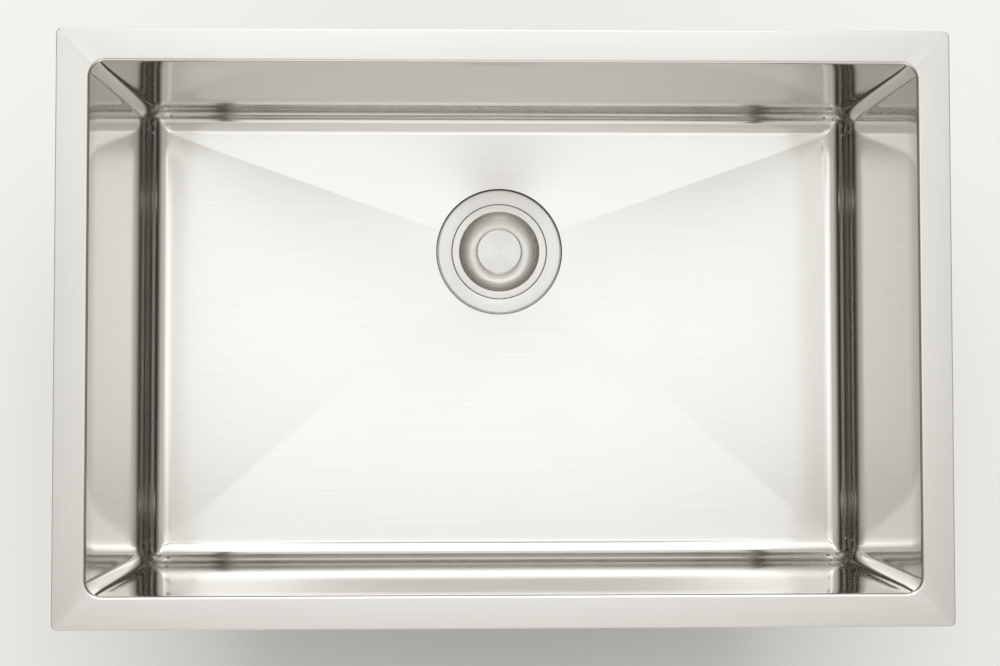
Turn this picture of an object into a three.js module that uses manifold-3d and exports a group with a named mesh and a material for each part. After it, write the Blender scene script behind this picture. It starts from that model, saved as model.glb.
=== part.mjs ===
// An undermount kitchen sink: one folded stainless steel bowl with its flange, sound-deadening pads,
// and a strainer with a lift-out basket, a sealing lid, and the seals, nuts and tailpiece below.
// Millimetres, +Z up. The origin is the centre of the flange's top face, which seats under a worktop.
// +X is the user's right and +Y is the back of the sink.

import * as THREE from "three";
import { mergeGeometries, mergeVertices } from "three/addons/utils/BufferGeometryUtils.js";
import Module from "manifold-3d";

const wasm = await Module();
wasm.setup();

// ---------------------------------------------------------------- Driving dimensions

// Bowl: one sheet, folded up from the floor and out at the flange.
const sinkWidth = 685.8; // outside the flange, along X
const sinkLength = 457.2; // outside the flange, front to back
const flangeWidth = 25.4;
const flangeCornerRadius = 4.5;
const sheet = 1.5; // 16 gauge
const foldInnerRadius = 1; // under the flange, where the wall folds out
const wallCornerRadius = 12; // between two walls, inside
const bendRadius = 18; // between a wall and the floor, inside
const bowlDepth = 228.6; // from the flange to the floor's lowest point, round the drain
const floorFall = 6; // from the floor's edge to its lowest point
const drainBehindCentre = 78;

// Sound-deadening pads, stuck to the outside of the walls and the floor.
const padThickness = 3;
const glueGap = 0.3;
const padCornerRadius = 12;
const wallPadEndMargin = 95;
const wallPadTopMargin = 45;
const floorPadMargin = 22;

// Strainer body: a flange, a seat for the basket, a cup and a threaded outlet, in one pressing.
const cupRadius = 41.2; // inside
const cupDepth = 62; // from the flange to the start of the cone
const bodyWall = 1;
const seatWidth = 2.6;
const seatDepth = 3.4;
const strainerFlangeWidth = 12.7;
const strainerLipClearance = 1.2; // under its turned-down edge
const strainerEdgeRound = 1.1;
const coneDepth = 9;
const cupThreadLength = 26;
const threadRootRise = 0.7; // over the cup's outside
const threadDepth = 1.4;
const threadPitch = 4;
const outletBoreClearance = 0.15; // over the tailpiece
const outletLength = 22;
const outletWall = 3.2;

// Recess and hole in the bowl's floor.
const recessClearance = 0.5; // round the strainer's flange
const recessSlope = 1; // width of the recess's sloping side
const recessSideOffset = 1.1; // level, between the two faces of its side
const drainHoleClearance = 0.5; // round the seat

// Seals and nut under the floor.
const flangeGasketThickness = 2.4;
const underGasketThickness = 3;
const frictionRingThickness = 1;
const sealWidth = 11.5;
const sealClearance = 0.5;
const locknutHeight = 10;
const locknutWall = 8.5;
const locknutLugs = 6;
const lugRise = 6;
const lugWidth = 12;
const threadClearance = 0.3;

// Tailpiece, its washer and its coupling nut.
const tailpieceRadius = 19.05; // 1-1/2 inch tube
const tailpieceWall = 1;
const tailpieceLength = 101.6;
const tailpieceFlangeThickness = 1.5;
const tailWasherThickness = 2;
const couplingNutWall = 4;
const couplingNutLip = 2.4;
const couplingNutSlip = 0.4; // round the tube
const threadShowing = 7; // of the outlet's thread, above the coupling nut
const couplingNutRibs = 8;
const ribRise = 2.6;
const ribWidth = 7;

// Basket and its handle.
const basketSheet = 0.8;
const basketSeatClearance = 0.4;
const basketCupClearance = 1.4;
const basketFloorClearance = 8; // over the cup's floor
const basketFootRadius = 4;
const holeRadius = 2.4;
const holesInRow = 12;
const holeRowPitch = 9;
const solidBand = 14; // below the basket's lip
const floorHoleRings = 1;
const floorHolePitch = 15;
const handleWireRadius = 1.5;
const handleClearance = 3.3; // under the knob's screw
const handleLegLength = 10;
const handleBendRadius = 5;

// Lid with its knob, screw and seal.
const lidSheet = 1;
const lidClearance = 0.5; // in the seat
const lidRimWidth = 6.4;
const lidSealThickness = 1;
const lidSealInset = 0.4;
const dishDepth = 8;
const dishSideWidth = 15;
const knobRadius = 21.5;
const knobHeadThickness = 5;
const knobEdgeRound = 2.3;
const knobNeckRadius = 8;
const knobRise = 0.8; // over the lid's rim
const knobCrown = 3.2; // solid metal over the screw's hole
const screwRadius = 2;
const screwClearance = 0.3;
const screwHeadRadius = 4.2;
const screwHeadHeight = 2.2;
const screwHeadRound = 0.6;
const screwWasherRadius = 7;
const screwWasherThickness = 1;

const faceGap = 0.1; // between flat faces that bear on each other

// Fineness of the round shapes.
const turnedSides = 40;
const screwSides = 16;
const wireSides = 8;
const wireSteps = 24;
const drillSides = 6;
const bendSteps = 5;
const cornerSteps = 4;
const foldSteps = 2;
const roundSteps = 3;
const dishSteps = 5;
const outlineArcSteps = 4;
const sideSteps = { back: 16, left: 7, front: 11, right: 7 };

// ---------------------------------------------------------------- Places that follow

const wallHalfX = sinkWidth / 2 - flangeWidth; // to the walls' inside faces
const wallHalfY = sinkLength / 2 - flangeWidth;
const floorHalfX = wallHalfX - bendRadius; // to the edge of the floor
const floorHalfY = wallHalfY - bendRadius;
const floorLowZ = -bowlDepth;
const floorEdgeZ = floorLowZ + floorFall;
const foldOuterRadius = foldInnerRadius + sheet;
const drain = new THREE.Vector2(0, drainBehindCentre);

const seatRadius = cupRadius + seatWidth;
const seatOuterRadius = seatRadius + bodyWall;
const strainerRadius = seatRadius + strainerFlangeWidth;
const recessRadius = strainerRadius + recessClearance;
const slopeTopRadius = recessRadius + recessSlope;
const recessDepth = flangeGasketThickness + bodyWall + 2 * faceGap; // the strainer lies flush
const recessZ = floorLowZ - recessDepth;
const drainHoleRadius = seatOuterRadius + drainHoleClearance;
const underFloorZ = recessZ - sheet;

const flangeGasketTopZ = recessZ + faceGap + flangeGasketThickness;
const strainerTopZ = flangeGasketTopZ + faceGap + bodyWall;
const seatZ = strainerTopZ - seatDepth;
const cupOuterRadius = cupRadius + bodyWall;
const threadRootRadius = cupOuterRadius + threadRootRise;
const threadCrestRadius = threadRootRadius + threadDepth;
const cupFloorZ = strainerTopZ - cupDepth;
const outletTopZ = cupFloorZ - coneDepth;
const outletEndZ = outletTopZ - outletLength;
const outletRadius = tailpieceRadius + outletBoreClearance;
const outletOuterRadius = outletRadius + outletWall;
const outletCrestRadius = outletOuterRadius + threadDepth;

const basketLipUnderZ = seatZ + faceGap;
const basketLipTopZ = basketLipUnderZ + basketSheet;
const basketOuterRadius = cupRadius - basketCupClearance;
const basketInnerRadius = basketOuterRadius - basketSheet;
const basketUnderZ = cupFloorZ + basketFloorClearance;
const basketFloorZ = basketUnderZ + basketSheet;

const lidSealTopZ = basketLipTopZ + faceGap + lidSealThickness;
const lidUnderZ = lidSealTopZ + faceGap;
const lidTopZ = lidUnderZ + lidSheet;
const lidRadius = seatRadius - lidClearance;
const dishRadius = lidRadius - lidRimWidth;
const dishFloorZ = lidTopZ - dishDepth;
const screwHoleRadius = screwRadius + screwClearance;
const screwWasherTopZ = dishFloorZ - lidSheet - faceGap;
const screwHeadTopZ = screwWasherTopZ - screwWasherThickness - faceGap;
const screwHeadUnderZ = screwHeadTopZ - screwHeadHeight;
const handleZ = screwHeadUnderZ - handleClearance - handleWireRadius;

// ---------------------------------------------------------------- Materials

function finish(color, roughness, metalness) {
  return new THREE.MeshStandardMaterial({ color, roughness, metalness });
}

const brushedSteel = finish(0xc9c5be, 0.32, 1);
const strainerSteel = finish(0xd2cdc6, 0.26, 1);
const tubeSteel = finish(0xd0cecb, 0.14, 1);
const padRubber = finish(0x2b2c2e, 0.9, 0);
const sealRubber = finish(0x1c1c1d, 0.8, 0);
const fibre = finish(0xb79f78, 0.95, 0);
const nutPlastic = finish(0xdedcd6, 0.55, 0);
const washerPlastic = finish(0xe9e6df, 0.5, 0);

const sink = new THREE.Group();

// Adds one named piece to the sink.
function addPiece(name, geometry, material) {
  const mesh = new THREE.Mesh(geometry, material);
  mesh.name = name;
  sink.add(mesh);
}

// ---------------------------------------------------------------- Shape helpers

// The same surface with shared vertices merged and collapsed triangles dropped.
function welded(geometry) {
  const bare = geometry.clone();
  bare.deleteAttribute("normal");
  bare.deleteAttribute("uv");
  const merged = mergeVertices(bare);
  const from = merged.index.array;
  const kept = [];
  for (let i = 0; i < from.length; i += 3) {
    const [a, b, c] = [from[i], from[i + 1], from[i + 2]];
    if (a !== b && b !== c && c !== a) kept.push(a, b, c);
  }
  return merged.setIndex(kept);
}

// A surface from a list of points and a list of triangles.
function surface(points, triangles) {
  const geometry = new THREE.BufferGeometry();
  geometry.setAttribute("position", new THREE.Float32BufferAttribute(points.flat(), 3));
  return geometry.setIndex(triangles);
}

function solidOf(geometry) {
  const mesh = welded(geometry);
  const vertProperties = mesh.attributes.position.array;
  const triVerts = new Uint32Array(mesh.index.array);
  return new wasm.Manifold(new wasm.Mesh({ numProp: 3, vertProperties, triVerts }));
}

// One geometry with another cut away from it.
function cut(geometry, tool) {
  const mesh = solidOf(geometry).subtract(solidOf(tool)).getMesh();
  const result = new THREE.BufferGeometry();
  result.setAttribute("position", new THREE.BufferAttribute(mesh.vertProperties, 3));
  return result.setIndex(new THREE.BufferAttribute(mesh.triVerts, 1));
}

// A turned piece about the drain's axis. Each profile point is [radius, height], and the points go
// up the outside of the section and down its inside. A profile that starts off the axis is closed.
function turned(profile, sides = turnedSides) {
  const loop = profile[0][0] === 0 ? profile : [...profile, profile[0]];
  const points = loop.map(([radius, height]) => new THREE.Vector2(radius, height));
  return new THREE.LatheGeometry(points, sides).rotateX(Math.PI / 2).translate(drain.x, drain.y, 0);
}

// A flat ring about the drain's axis.
function ring(inner, outer, topZ, thickness) {
  const bottomZ = topZ - thickness;
  const profile = [[inner, bottomZ], [outer, bottomZ], [outer, topZ], [inner, topZ]];
  return turned(profile);
}

// Points of a round in a profile, between two angles in degrees.
function round(centreR, centreZ, radius, fromDegrees, toDegrees, steps = roundSteps) {
  return Array.from({ length: steps + 1 }, (_, i) => {
    const angle = THREE.MathUtils.degToRad(fromDegrees + ((toDegrees - fromDegrees) * i) / steps);
    return [centreR + radius * Math.cos(angle), centreZ + radius * Math.sin(angle)];
  });
}

// A V thread as whole rings, going up to topZ over about the length given.
function threadUp(rootRadius, topZ, length) {
  const turns = Math.max(1, Math.floor(length / threadPitch));
  const points = [];
  for (let i = turns; i > 0; i--) {
    const z = topZ - i * threadPitch;
    points.push([rootRadius, z], [rootRadius + threadDepth, z + threadPitch / 2]);
  }
  return [...points, [rootRadius, topZ]];
}

function circle(radius, sides = turnedSides) {
  return Array.from({ length: sides }, (_, i) => {
    const angle = (i * 2 * Math.PI) / sides;
    return new THREE.Vector2(radius * Math.cos(angle), radius * Math.sin(angle));
  });
}

// A nut about the drain's axis: a round with lugs or ribs standing out of it, and a plain bore.
function nutBlank({ radius, rise, width, count, bore, height, bottomZ }) {
  const outer = radius + rise;
  const half = Math.asin(width / 2 / radius);
  const outerHalf = Math.asin(width / 2 / outer);
  const shape = new THREE.Shape();
  for (let i = 0; i < count; i++) {
    const middle = (i * 2 * Math.PI) / count;
    const next = ((i + 1) * 2 * Math.PI) / count;
    if (i === 0) shape.moveTo(radius * Math.cos(half), -radius * Math.sin(half));
    shape.lineTo(outer * Math.cos(middle - outerHalf), outer * Math.sin(middle - outerHalf));
    shape.lineTo(outer * Math.cos(middle + outerHalf), outer * Math.sin(middle + outerHalf));
    shape.lineTo(radius * Math.cos(middle + half), radius * Math.sin(middle + half));
    shape.absarc(0, 0, radius, middle + half, next - half, false);
  }
  shape.holes.push(new THREE.Path(circle(bore)));
  const settings = { depth: height, bevelEnabled: false, curveSegments: outlineArcSteps / 2 };
  return new THREE.ExtrudeGeometry(shape, settings).translate(drain.x, drain.y, bottomZ);
}

// Angles from 0 to a quarter turn.
function quarterTurn(steps) {
  return Array.from({ length: steps + 1 }, (_, i) => (i / steps) * (Math.PI / 2));
}

// ---------------------------------------------------------------- Bowl

// The floor is four facets that fall to the recess, with creases out to the floor's corners.
const floorCorners = [
  new THREE.Vector2(floorHalfX, floorHalfY),
  new THREE.Vector2(-floorHalfX, floorHalfY),
  new THREE.Vector2(-floorHalfX, -floorHalfY),
  new THREE.Vector2(floorHalfX, -floorHalfY),
];
const sideNames = ["back", "left", "front", "right"]; // each runs from its corner to the next
const cornerAfter = (i) => floorCorners[(i + 1) % floorCorners.length];

// Height of the floor's upper face, which rises evenly from the recess out to the floor's edge.
function floorHeight(x, y) {
  const awayX = Math.abs(x - drain.x) / floorHalfX;
  const awayBack = (y - drain.y) / (floorHalfY - drain.y);
  const awayFront = (drain.y - y) / (floorHalfY + drain.y);
  const distance = Math.hypot(x - drain.x, y - drain.y);
  const edgeDistance = distance / Math.max(awayX, awayBack, awayFront);
  return floorLowZ + (floorFall * (distance - slopeTopRadius)) / (edgeDistance - slopeTopRadius);
}

const underFloor = (x, y) => floorHeight(x, y) - sheet;
const level = (z) => () => z;

// Evenly turned rays from the drain to each side of the floor: their angles, and where they meet it.
const sideRays = sideNames.map((name, i) => {
  const from = floorCorners[i];
  const along = cornerAfter(i).clone().sub(from);
  const start = from.clone().sub(drain).angle();
  const end = cornerAfter(i).clone().sub(drain).angle();
  const sweep = end > start ? end - start : end - start + 2 * Math.PI;
  return Array.from({ length: sideSteps[name] - 1 }, (_, k) => {
    const angle = start + (sweep * (k + 1)) / sideSteps[name];
    const direction = new THREE.Vector2(Math.cos(angle), Math.sin(angle));
    const share = -from.clone().sub(drain).cross(direction) / along.cross(direction);
    return { angle, share };
  });
});

// One level loop round the bowl: a rectangle with round corners.
function bowlLoop(halfX, halfY, cornerRadius, z) {
  const points = [];
  floorCorners.forEach((corner, i) => {
    const onCorner = (place, angle) => [
      Math.sign(place.x) * (halfX - cornerRadius) + cornerRadius * Math.cos(angle),
      Math.sign(place.y) * (halfY - cornerRadius) + cornerRadius * Math.sin(angle),
      z,
    ];
    for (let k = 0; k <= cornerSteps; k++) {
      points.push(onCorner(corner, ((i + k / cornerSteps) * Math.PI) / 2));
    }
    const [x, y] = onCorner(corner, ((i + 1) * Math.PI) / 2);
    const [nextX, nextY] = onCorner(cornerAfter(i), ((i + 1) * Math.PI) / 2);
    for (const { share } of sideRays[i]) {
      points.push([x + (nextX - x) * share, y + (nextY - y) * share, z]);
    }
  });
  return points;
}

// One loop round the drain, point for point with a bowl loop.
function drainLoop(radius, heightAt) {
  return floorCorners.flatMap((corner, i) => {
    const cornerAngles = Array(cornerSteps + 1).fill(corner.clone().sub(drain).angle());
    return [...cornerAngles, ...sideRays[i].map((ray) => ray.angle)].map((angle) => {
      const x = drain.x + radius * Math.cos(angle);
      const y = drain.y + radius * Math.sin(angle);
      return [x, y, heightAt(x, y)];
    });
  });
}

// Joins each loop to the next and the last to the first, which closes the sheet's two faces.
function lofted(loops) {
  const count = loops[0].length;
  const triangles = [];
  loops.forEach((_, i) => {
    const here = i * count;
    const there = ((i + 1) % loops.length) * count;
    for (let k = 0; k < count; k++) {
      const next = (k + 1) % count;
      triangles.push(here + k, here + next, there + next, here + k, there + next, there + k);
    }
  });
  return welded(surface(loops.flat(), triangles));
}

// The wall's fold out to the flange, on either face of the sheet.
function foldLoop(radius, angle) {
  const out = foldOuterRadius - radius * Math.cos(angle);
  const z = radius * Math.sin(angle) - foldOuterRadius;
  return bowlLoop(wallHalfX + out, wallHalfY + out, wallCornerRadius + out, z);
}

// The wall's bend into the floor, on either face of the sheet. Near the floor its corners are sharp.
function bendLoop(radius, angle) {
  const out = radius * Math.cos(angle);
  const z = floorEdgeZ + bendRadius - radius * Math.sin(angle);
  const cornerRadius = Math.max(0, wallCornerRadius - bendRadius + out);
  return bowlLoop(floorHalfX + out, floorHalfY + out, cornerRadius, z);
}

const flangeEdge = (z) => bowlLoop(sinkWidth / 2, sinkLength / 2, flangeCornerRadius, z);
const bowl = lofted([
  // the face that is seen from above
  flangeEdge(0),
  ...quarterTurn(foldSteps).reverse().map((angle) => foldLoop(foldOuterRadius, angle)),
  ...quarterTurn(bendSteps).map((angle) => bendLoop(bendRadius, angle)),
  drainLoop(slopeTopRadius, floorHeight),
  drainLoop(recessRadius, level(recessZ)),
  drainLoop(drainHoleRadius, level(recessZ)),
  // the face below
  drainLoop(drainHoleRadius, level(underFloorZ)),
  drainLoop(recessRadius + recessSideOffset, level(underFloorZ)),
  drainLoop(slopeTopRadius + recessSideOffset, underFloor),
  ...quarterTurn(bendSteps).reverse().map((angle) => bendLoop(bendRadius + sheet, angle)),
  ...quarterTurn(foldSteps).map((angle) => foldLoop(foldInnerRadius, angle)),
  flangeEdge(-sheet),
]);
addPiece("bowl", bowl, brushedSteel);

// ---------------------------------------------------------------- Sound-deadening pads

const wallFlatTopZ = -foldOuterRadius;
const wallFlatBottomZ = floorEdgeZ + bendRadius;
const wallPadHeight = wallFlatTopZ - wallFlatBottomZ - 2 * wallPadTopMargin;

function roundedRectangle(width, height, radius) {
  const x = width / 2 - radius;
  const y = height / 2 - radius;
  const shape = new THREE.Shape();
  shape.absarc(x, -y, radius, -Math.PI / 2, 0, false);
  shape.absarc(x, y, radius, 0, Math.PI / 2, false);
  shape.absarc(-x, y, radius, Math.PI / 2, Math.PI, false);
  shape.absarc(-x, -y, radius, Math.PI, Math.PI * 1.5, false);
  return shape;
}

// A pad on the outside of one wall. The turn takes +X to the wall's outward direction.
function addWallPad(name, wallLength, wallDistance, turn) {
  const shape = roundedRectangle(wallLength - 2 * wallPadEndMargin, wallPadHeight, padCornerRadius);
  const settings = { depth: padThickness, bevelEnabled: false, curveSegments: outlineArcSteps / 2 };
  const pad = new THREE.ExtrudeGeometry(shape, settings);
  pad.rotateX(Math.PI / 2).rotateZ(Math.PI / 2); // on edge, with its thickness along +X
  pad.translate(wallDistance + sheet + glueGap, 0, (wallFlatTopZ + wallFlatBottomZ) / 2);
  addPiece(name, pad.rotateZ(turn), padRubber);
}

addWallPad("pad_right_wall", 2 * wallHalfY, wallHalfX, 0);
addWallPad("pad_back_wall", 2 * wallHalfX, wallHalfY, Math.PI / 2);
addWallPad("pad_left_wall", 2 * wallHalfY, wallHalfX, Math.PI);
addWallPad("pad_front_wall", 2 * wallHalfX, wallHalfY, -Math.PI / 2);

// A pad under one facet of the floor, with a margin to its creases, its edge and the drain.
function addFloorPad(name, side) {
  const from = floorCorners[side].clone().sub(drain);
  const to = cornerAfter(side).clone().sub(drain);
  const along = to.clone().sub(from).normalize();
  const outward = new THREE.Vector2(along.y, -along.x);
  const edgeDistance = from.dot(outward);
  const near = slopeTopRadius + floorPadMargin;
  const far = edgeDistance - floorPadMargin;
  const besideCrease = (corner, distance, sense) => {
    const slope = corner.dot(along) / edgeDistance;
    const aside = slope * distance + sense * floorPadMargin * Math.hypot(1, slope);
    return outward.clone().multiplyScalar(distance).addScaledVector(along, aside).add(drain);
  };
  const outline = [
    besideCrease(from, far, 1),
    besideCrease(to, far, -1),
    besideCrease(to, near, -1),
    besideCrease(from, near, 1),
  ];
  const cornersAt = (drop) => outline.map(({ x, y }) => [x, y, underFloor(x, y) - drop]);
  const points = [...cornersAt(glueGap), ...cornersAt(glueGap + padThickness)];
  const triangles = [0, 1, 2, 0, 2, 3, 4, 6, 5, 4, 7, 6];
  for (let k = 0; k < 4; k++) {
    const next = (k + 1) % 4;
    triangles.push(k, k + 4, next + 4, k, next + 4, next);
  }
  addPiece(name, surface(points, triangles), padRubber);
}

for (const side of ["left", "front", "right"]) {
  addFloorPad(`pad_floor_${side}`, sideNames.indexOf(side));
}

// ---------------------------------------------------------------- Strainer body and its seals

const strainerFlangeUnderZ = strainerTopZ - bodyWall;
const strainerLipZ = recessZ + strainerLipClearance;
const strainerLipRadius = strainerRadius - bodyWall;
const roundCentreR = strainerRadius - strainerEdgeRound;
const roundCentreZ = strainerTopZ - strainerEdgeRound;
const threadTopZ = seatZ - bodyWall - faceGap;
const outletThreadTopZ = outletTopZ - bodyWall;

const strainerBody = turned([
  // up the outside
  [outletRadius, outletEndZ],
  [outletOuterRadius, outletEndZ],
  ...threadUp(outletOuterRadius, outletThreadTopZ, outletThreadTopZ - outletEndZ - threadClearance),
  [cupOuterRadius, cupFloorZ - bodyWall],
  [cupOuterRadius, threadTopZ - cupThreadLength],
  ...threadUp(threadRootRadius, threadTopZ, cupThreadLength - threadRootRise),
  [cupOuterRadius, threadTopZ],
  [cupOuterRadius, seatZ - bodyWall],
  [seatOuterRadius, seatZ - bodyWall],
  [seatOuterRadius, strainerFlangeUnderZ],
  [strainerLipRadius, strainerFlangeUnderZ],
  [strainerLipRadius, strainerLipZ],
  [strainerRadius, strainerLipZ],
  ...round(roundCentreR, roundCentreZ, strainerEdgeRound, 0, 90),
  // down the inside
  [seatRadius, strainerTopZ],
  [seatRadius, seatZ],
  [cupRadius, seatZ],
  [cupRadius, cupFloorZ],
  [outletRadius, outletTopZ],
]);
addPiece("strainer_body", strainerBody, strainerSteel);

const flangeGasketRadius = strainerLipRadius - sealClearance;
const flangeGasket = ring(drainHoleRadius, flangeGasketRadius, flangeGasketTopZ, flangeGasketThickness);
addPiece("flange_gasket", flangeGasket, sealRubber);

const sealBore = seatOuterRadius + sealClearance;
const sealRadius = sealBore + sealWidth;
const underGasketTopZ = underFloorZ - faceGap;
const frictionRingTopZ = underGasketTopZ - underGasketThickness - faceGap;
const locknutTopZ = frictionRingTopZ - frictionRingThickness - faceGap;
addPiece("under_gasket", ring(sealBore, sealRadius, underGasketTopZ, underGasketThickness), sealRubber);
addPiece("friction_ring", ring(sealBore, sealRadius, frictionRingTopZ, frictionRingThickness), fibre);

const locknutBore = threadCrestRadius + threadClearance;
const locknut = nutBlank({
  radius: locknutBore + locknutWall,
  rise: lugRise,
  width: lugWidth,
  count: locknutLugs,
  bore: locknutBore,
  height: locknutHeight,
  bottomZ: locknutTopZ - locknutHeight,
});
addPiece("locknut", locknut, nutPlastic);

// ---------------------------------------------------------------- Tailpiece and its coupling nut

const tailWasherTopZ = outletEndZ - faceGap;
const tailFlangeTopZ = tailWasherTopZ - tailWasherThickness - faceGap;
const tailFlangeUnderZ = tailFlangeTopZ - tailpieceFlangeThickness;
const tailEndZ = tailFlangeTopZ - tailpieceLength;
const tailBore = tailpieceRadius - tailpieceWall;

const tailWasher = ring(tailBore, outletOuterRadius, tailWasherTopZ, tailWasherThickness);
addPiece("tailpiece_washer", tailWasher, washerPlastic);

const tailpiece = turned([
  [tailBore, tailEndZ],
  [tailpieceRadius, tailEndZ],
  [tailpieceRadius, tailFlangeUnderZ],
  [outletOuterRadius, tailFlangeUnderZ],
  [outletOuterRadius, tailFlangeTopZ],
  [tailBore, tailFlangeTopZ],
]);
addPiece("tailpiece", tailpiece, tubeSteel);

const couplingNutBore = outletCrestRadius + threadClearance;
const couplingNutLipZ = tailFlangeUnderZ - faceGap;
const couplingNutBottomZ = couplingNutLipZ - couplingNutLip;
const couplingNutHeight = outletThreadTopZ - threadShowing - couplingNutBottomZ;
const couplingNutBlank = nutBlank({
  radius: couplingNutBore + couplingNutWall,
  rise: ribRise,
  width: ribWidth,
  count: couplingNutRibs,
  bore: tailpieceRadius + couplingNutSlip,
  height: couplingNutHeight,
  bottomZ: couplingNutBottomZ,
});
const couplingNutHollow = turned([
  [0, couplingNutLipZ],
  [couplingNutBore, couplingNutLipZ],
  [couplingNutBore, outletTopZ],
  [0, outletTopZ],
]);
addPiece("coupling_nut", cut(couplingNutBlank, couplingNutHollow), nutPlastic);

// ---------------------------------------------------------------- Basket

const basketLipRadius = seatRadius - basketSeatClearance;
const footInnerRadius = basketFootRadius - basketSheet;
const footCentreR = basketOuterRadius - basketFootRadius;
const footCentreZ = basketUnderZ + basketFootRadius;

const basketShell = turned([
  [0, basketUnderZ],
  ...round(footCentreR, footCentreZ, basketFootRadius, -90, 0),
  [basketOuterRadius, basketLipUnderZ],
  [basketLipRadius, basketLipUnderZ],
  [basketLipRadius, basketLipTopZ],
  [basketInnerRadius, basketLipTopZ],
  ...round(footCentreR, footCentreZ, footInnerRadius, 0, -90),
  [0, basketFloorZ],
]);

function drill() {
  return new THREE.CylinderGeometry(holeRadius, holeRadius, 2 * basketFootRadius, drillSides);
}

// Rows of holes round the basket's wall, each row set half a hole round from the one above.
function wallDrills() {
  const lowest = footCentreZ + holeRadius;
  const drills = [];
  for (let row = 0; basketLipTopZ - solidBand - row * holeRowPitch > lowest; row++) {
    for (let k = 0; k < holesInRow; k++) {
      const angle = ((k + (row % 2) / 2) * 2 * Math.PI) / holesInRow;
      const hole = drill().rotateZ(Math.PI / 2).translate(basketInnerRadius, 0, 0).rotateZ(angle);
      drills.push(hole.translate(drain.x, drain.y, basketLipTopZ - solidBand - row * holeRowPitch));
    }
  }
  return drills;
}

// A hole in the middle of the basket's floor, and rings of six, twelve and so on about it.
function floorDrills() {
  const drills = [];
  for (let ringNumber = 0; ringNumber <= floorHoleRings; ringNumber++) {
    const count = Math.max(1, 6 * ringNumber);
    for (let k = 0; k < count; k++) {
      const place = new THREE.Vector2(ringNumber * floorHolePitch, 0);
      place.rotateAround(new THREE.Vector2(), (k * 2 * Math.PI) / count).add(drain);
      drills.push(drill().rotateX(Math.PI / 2).translate(place.x, place.y, basketFloorZ));
    }
  }
  return drills;
}

addPiece("basket", cut(basketShell, mergeGeometries([...wallDrills(), ...floorDrills()])), strainerSteel);

// A bar of round wire across the basket, with both ends turned down along its wall.
function handleGeometry() {
  const legX = basketInnerRadius - glueGap - handleWireRadius;
  const bendX = legX - handleBendRadius;
  const bendZ = handleZ - handleBendRadius;
  const footZ = handleZ - handleLegLength;
  const at = (x, z) => new THREE.Vector3(drain.x + x, drain.y, z);
  const path = new THREE.CurvePath();
  path.add(new THREE.LineCurve3(at(-legX, footZ), at(-legX, bendZ)));
  path.add(new THREE.QuadraticBezierCurve3(at(-legX, bendZ), at(-legX, handleZ), at(-bendX, handleZ)));
  path.add(new THREE.LineCurve3(at(-bendX, handleZ), at(bendX, handleZ)));
  path.add(new THREE.QuadraticBezierCurve3(at(bendX, handleZ), at(legX, handleZ), at(legX, bendZ)));
  path.add(new THREE.LineCurve3(at(legX, bendZ), at(legX, footZ)));
  const section = new THREE.Shape(circle(handleWireRadius, wireSides));
  return new THREE.ExtrudeGeometry(section, { steps: wireSteps, extrudePath: path });
}
addPiece("basket_handle", handleGeometry(), strainerSteel);

// ---------------------------------------------------------------- Lid

// The dish's side, from its rim down to its flat floor, as half of a parabola.
function dishSide(radius, topZ, width) {
  return Array.from({ length: dishSteps + 1 }, (_, i) => {
    const share = i / dishSteps;
    return [radius - width * share, topZ - dishDepth * (1 - (1 - share) ** 2)];
  });
}

const lid = turned([
  [screwHoleRadius, dishFloorZ - lidSheet],
  ...dishSide(dishRadius + lidSheet, lidUnderZ, dishSideWidth + lidSheet).reverse(),
  [lidRadius, lidUnderZ],
  [lidRadius, lidTopZ],
  ...dishSide(dishRadius, lidTopZ, dishSideWidth),
  [screwHoleRadius, dishFloorZ],
]);
addPiece("lid", lid, strainerSteel);

const lidSeal = ring(basketInnerRadius + lidSealInset, lidRadius - lidSealInset, lidSealTopZ, lidSealThickness);
addPiece("lid_seal", lidSeal, sealRubber);

const knobFootZ = dishFloorZ + faceGap;
const knobTopZ = lidTopZ + knobRise;
const knobHeadUnderZ = knobTopZ - knobHeadThickness;
const screwHoleEndZ = knobTopZ - knobCrown;
const knobRoundR = knobRadius - knobEdgeRound;

const knob = turned([
  [0, screwHoleEndZ],
  [screwHoleRadius, screwHoleEndZ],
  [screwHoleRadius, knobFootZ],
  [knobNeckRadius, knobFootZ],
  [knobNeckRadius, knobHeadUnderZ],
  ...round(knobRoundR, knobHeadUnderZ + knobEdgeRound, knobEdgeRound, -90, 0),
  ...round(knobRoundR, knobTopZ - knobEdgeRound, knobEdgeRound, 0, 90),
  [0, knobTopZ],
]);
addPiece("knob", knob, strainerSteel);

const screwWasher = ring(screwHoleRadius, screwWasherRadius, screwWasherTopZ, screwWasherThickness);
addPiece("knob_screw_washer", screwWasher, sealRubber);

const knobScrew = turned(
  [
    [0, screwHeadUnderZ],
    [screwHeadRadius - screwHeadRound, screwHeadUnderZ],
    [screwHeadRadius, screwHeadUnderZ + screwHeadRound],
    [screwHeadRadius, screwHeadTopZ],
    [screwRadius, screwHeadTopZ],
    [screwRadius, screwHoleEndZ - screwClearance],
    [0, screwHoleEndZ - screwClearance],
  ],
  screwSides,
);
addPiece("knob_screw", knobScrew, tubeSteel);

export default sink;
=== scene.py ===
"""Dresses the undermount sink: brushed and spun steel, rubber, fibre and plastic, in soft studio light.

Sizes are in millimetres, and each mesh turns them into metres. The frame's axes hold: +X is the
sink's right, +Y its back, +Z up, and z = 0 is the top of its flange.
"""

from math import atan2, cos, hypot, pi, radians, sin, tan

import bmesh
import bpy
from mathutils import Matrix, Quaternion, Vector


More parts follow.
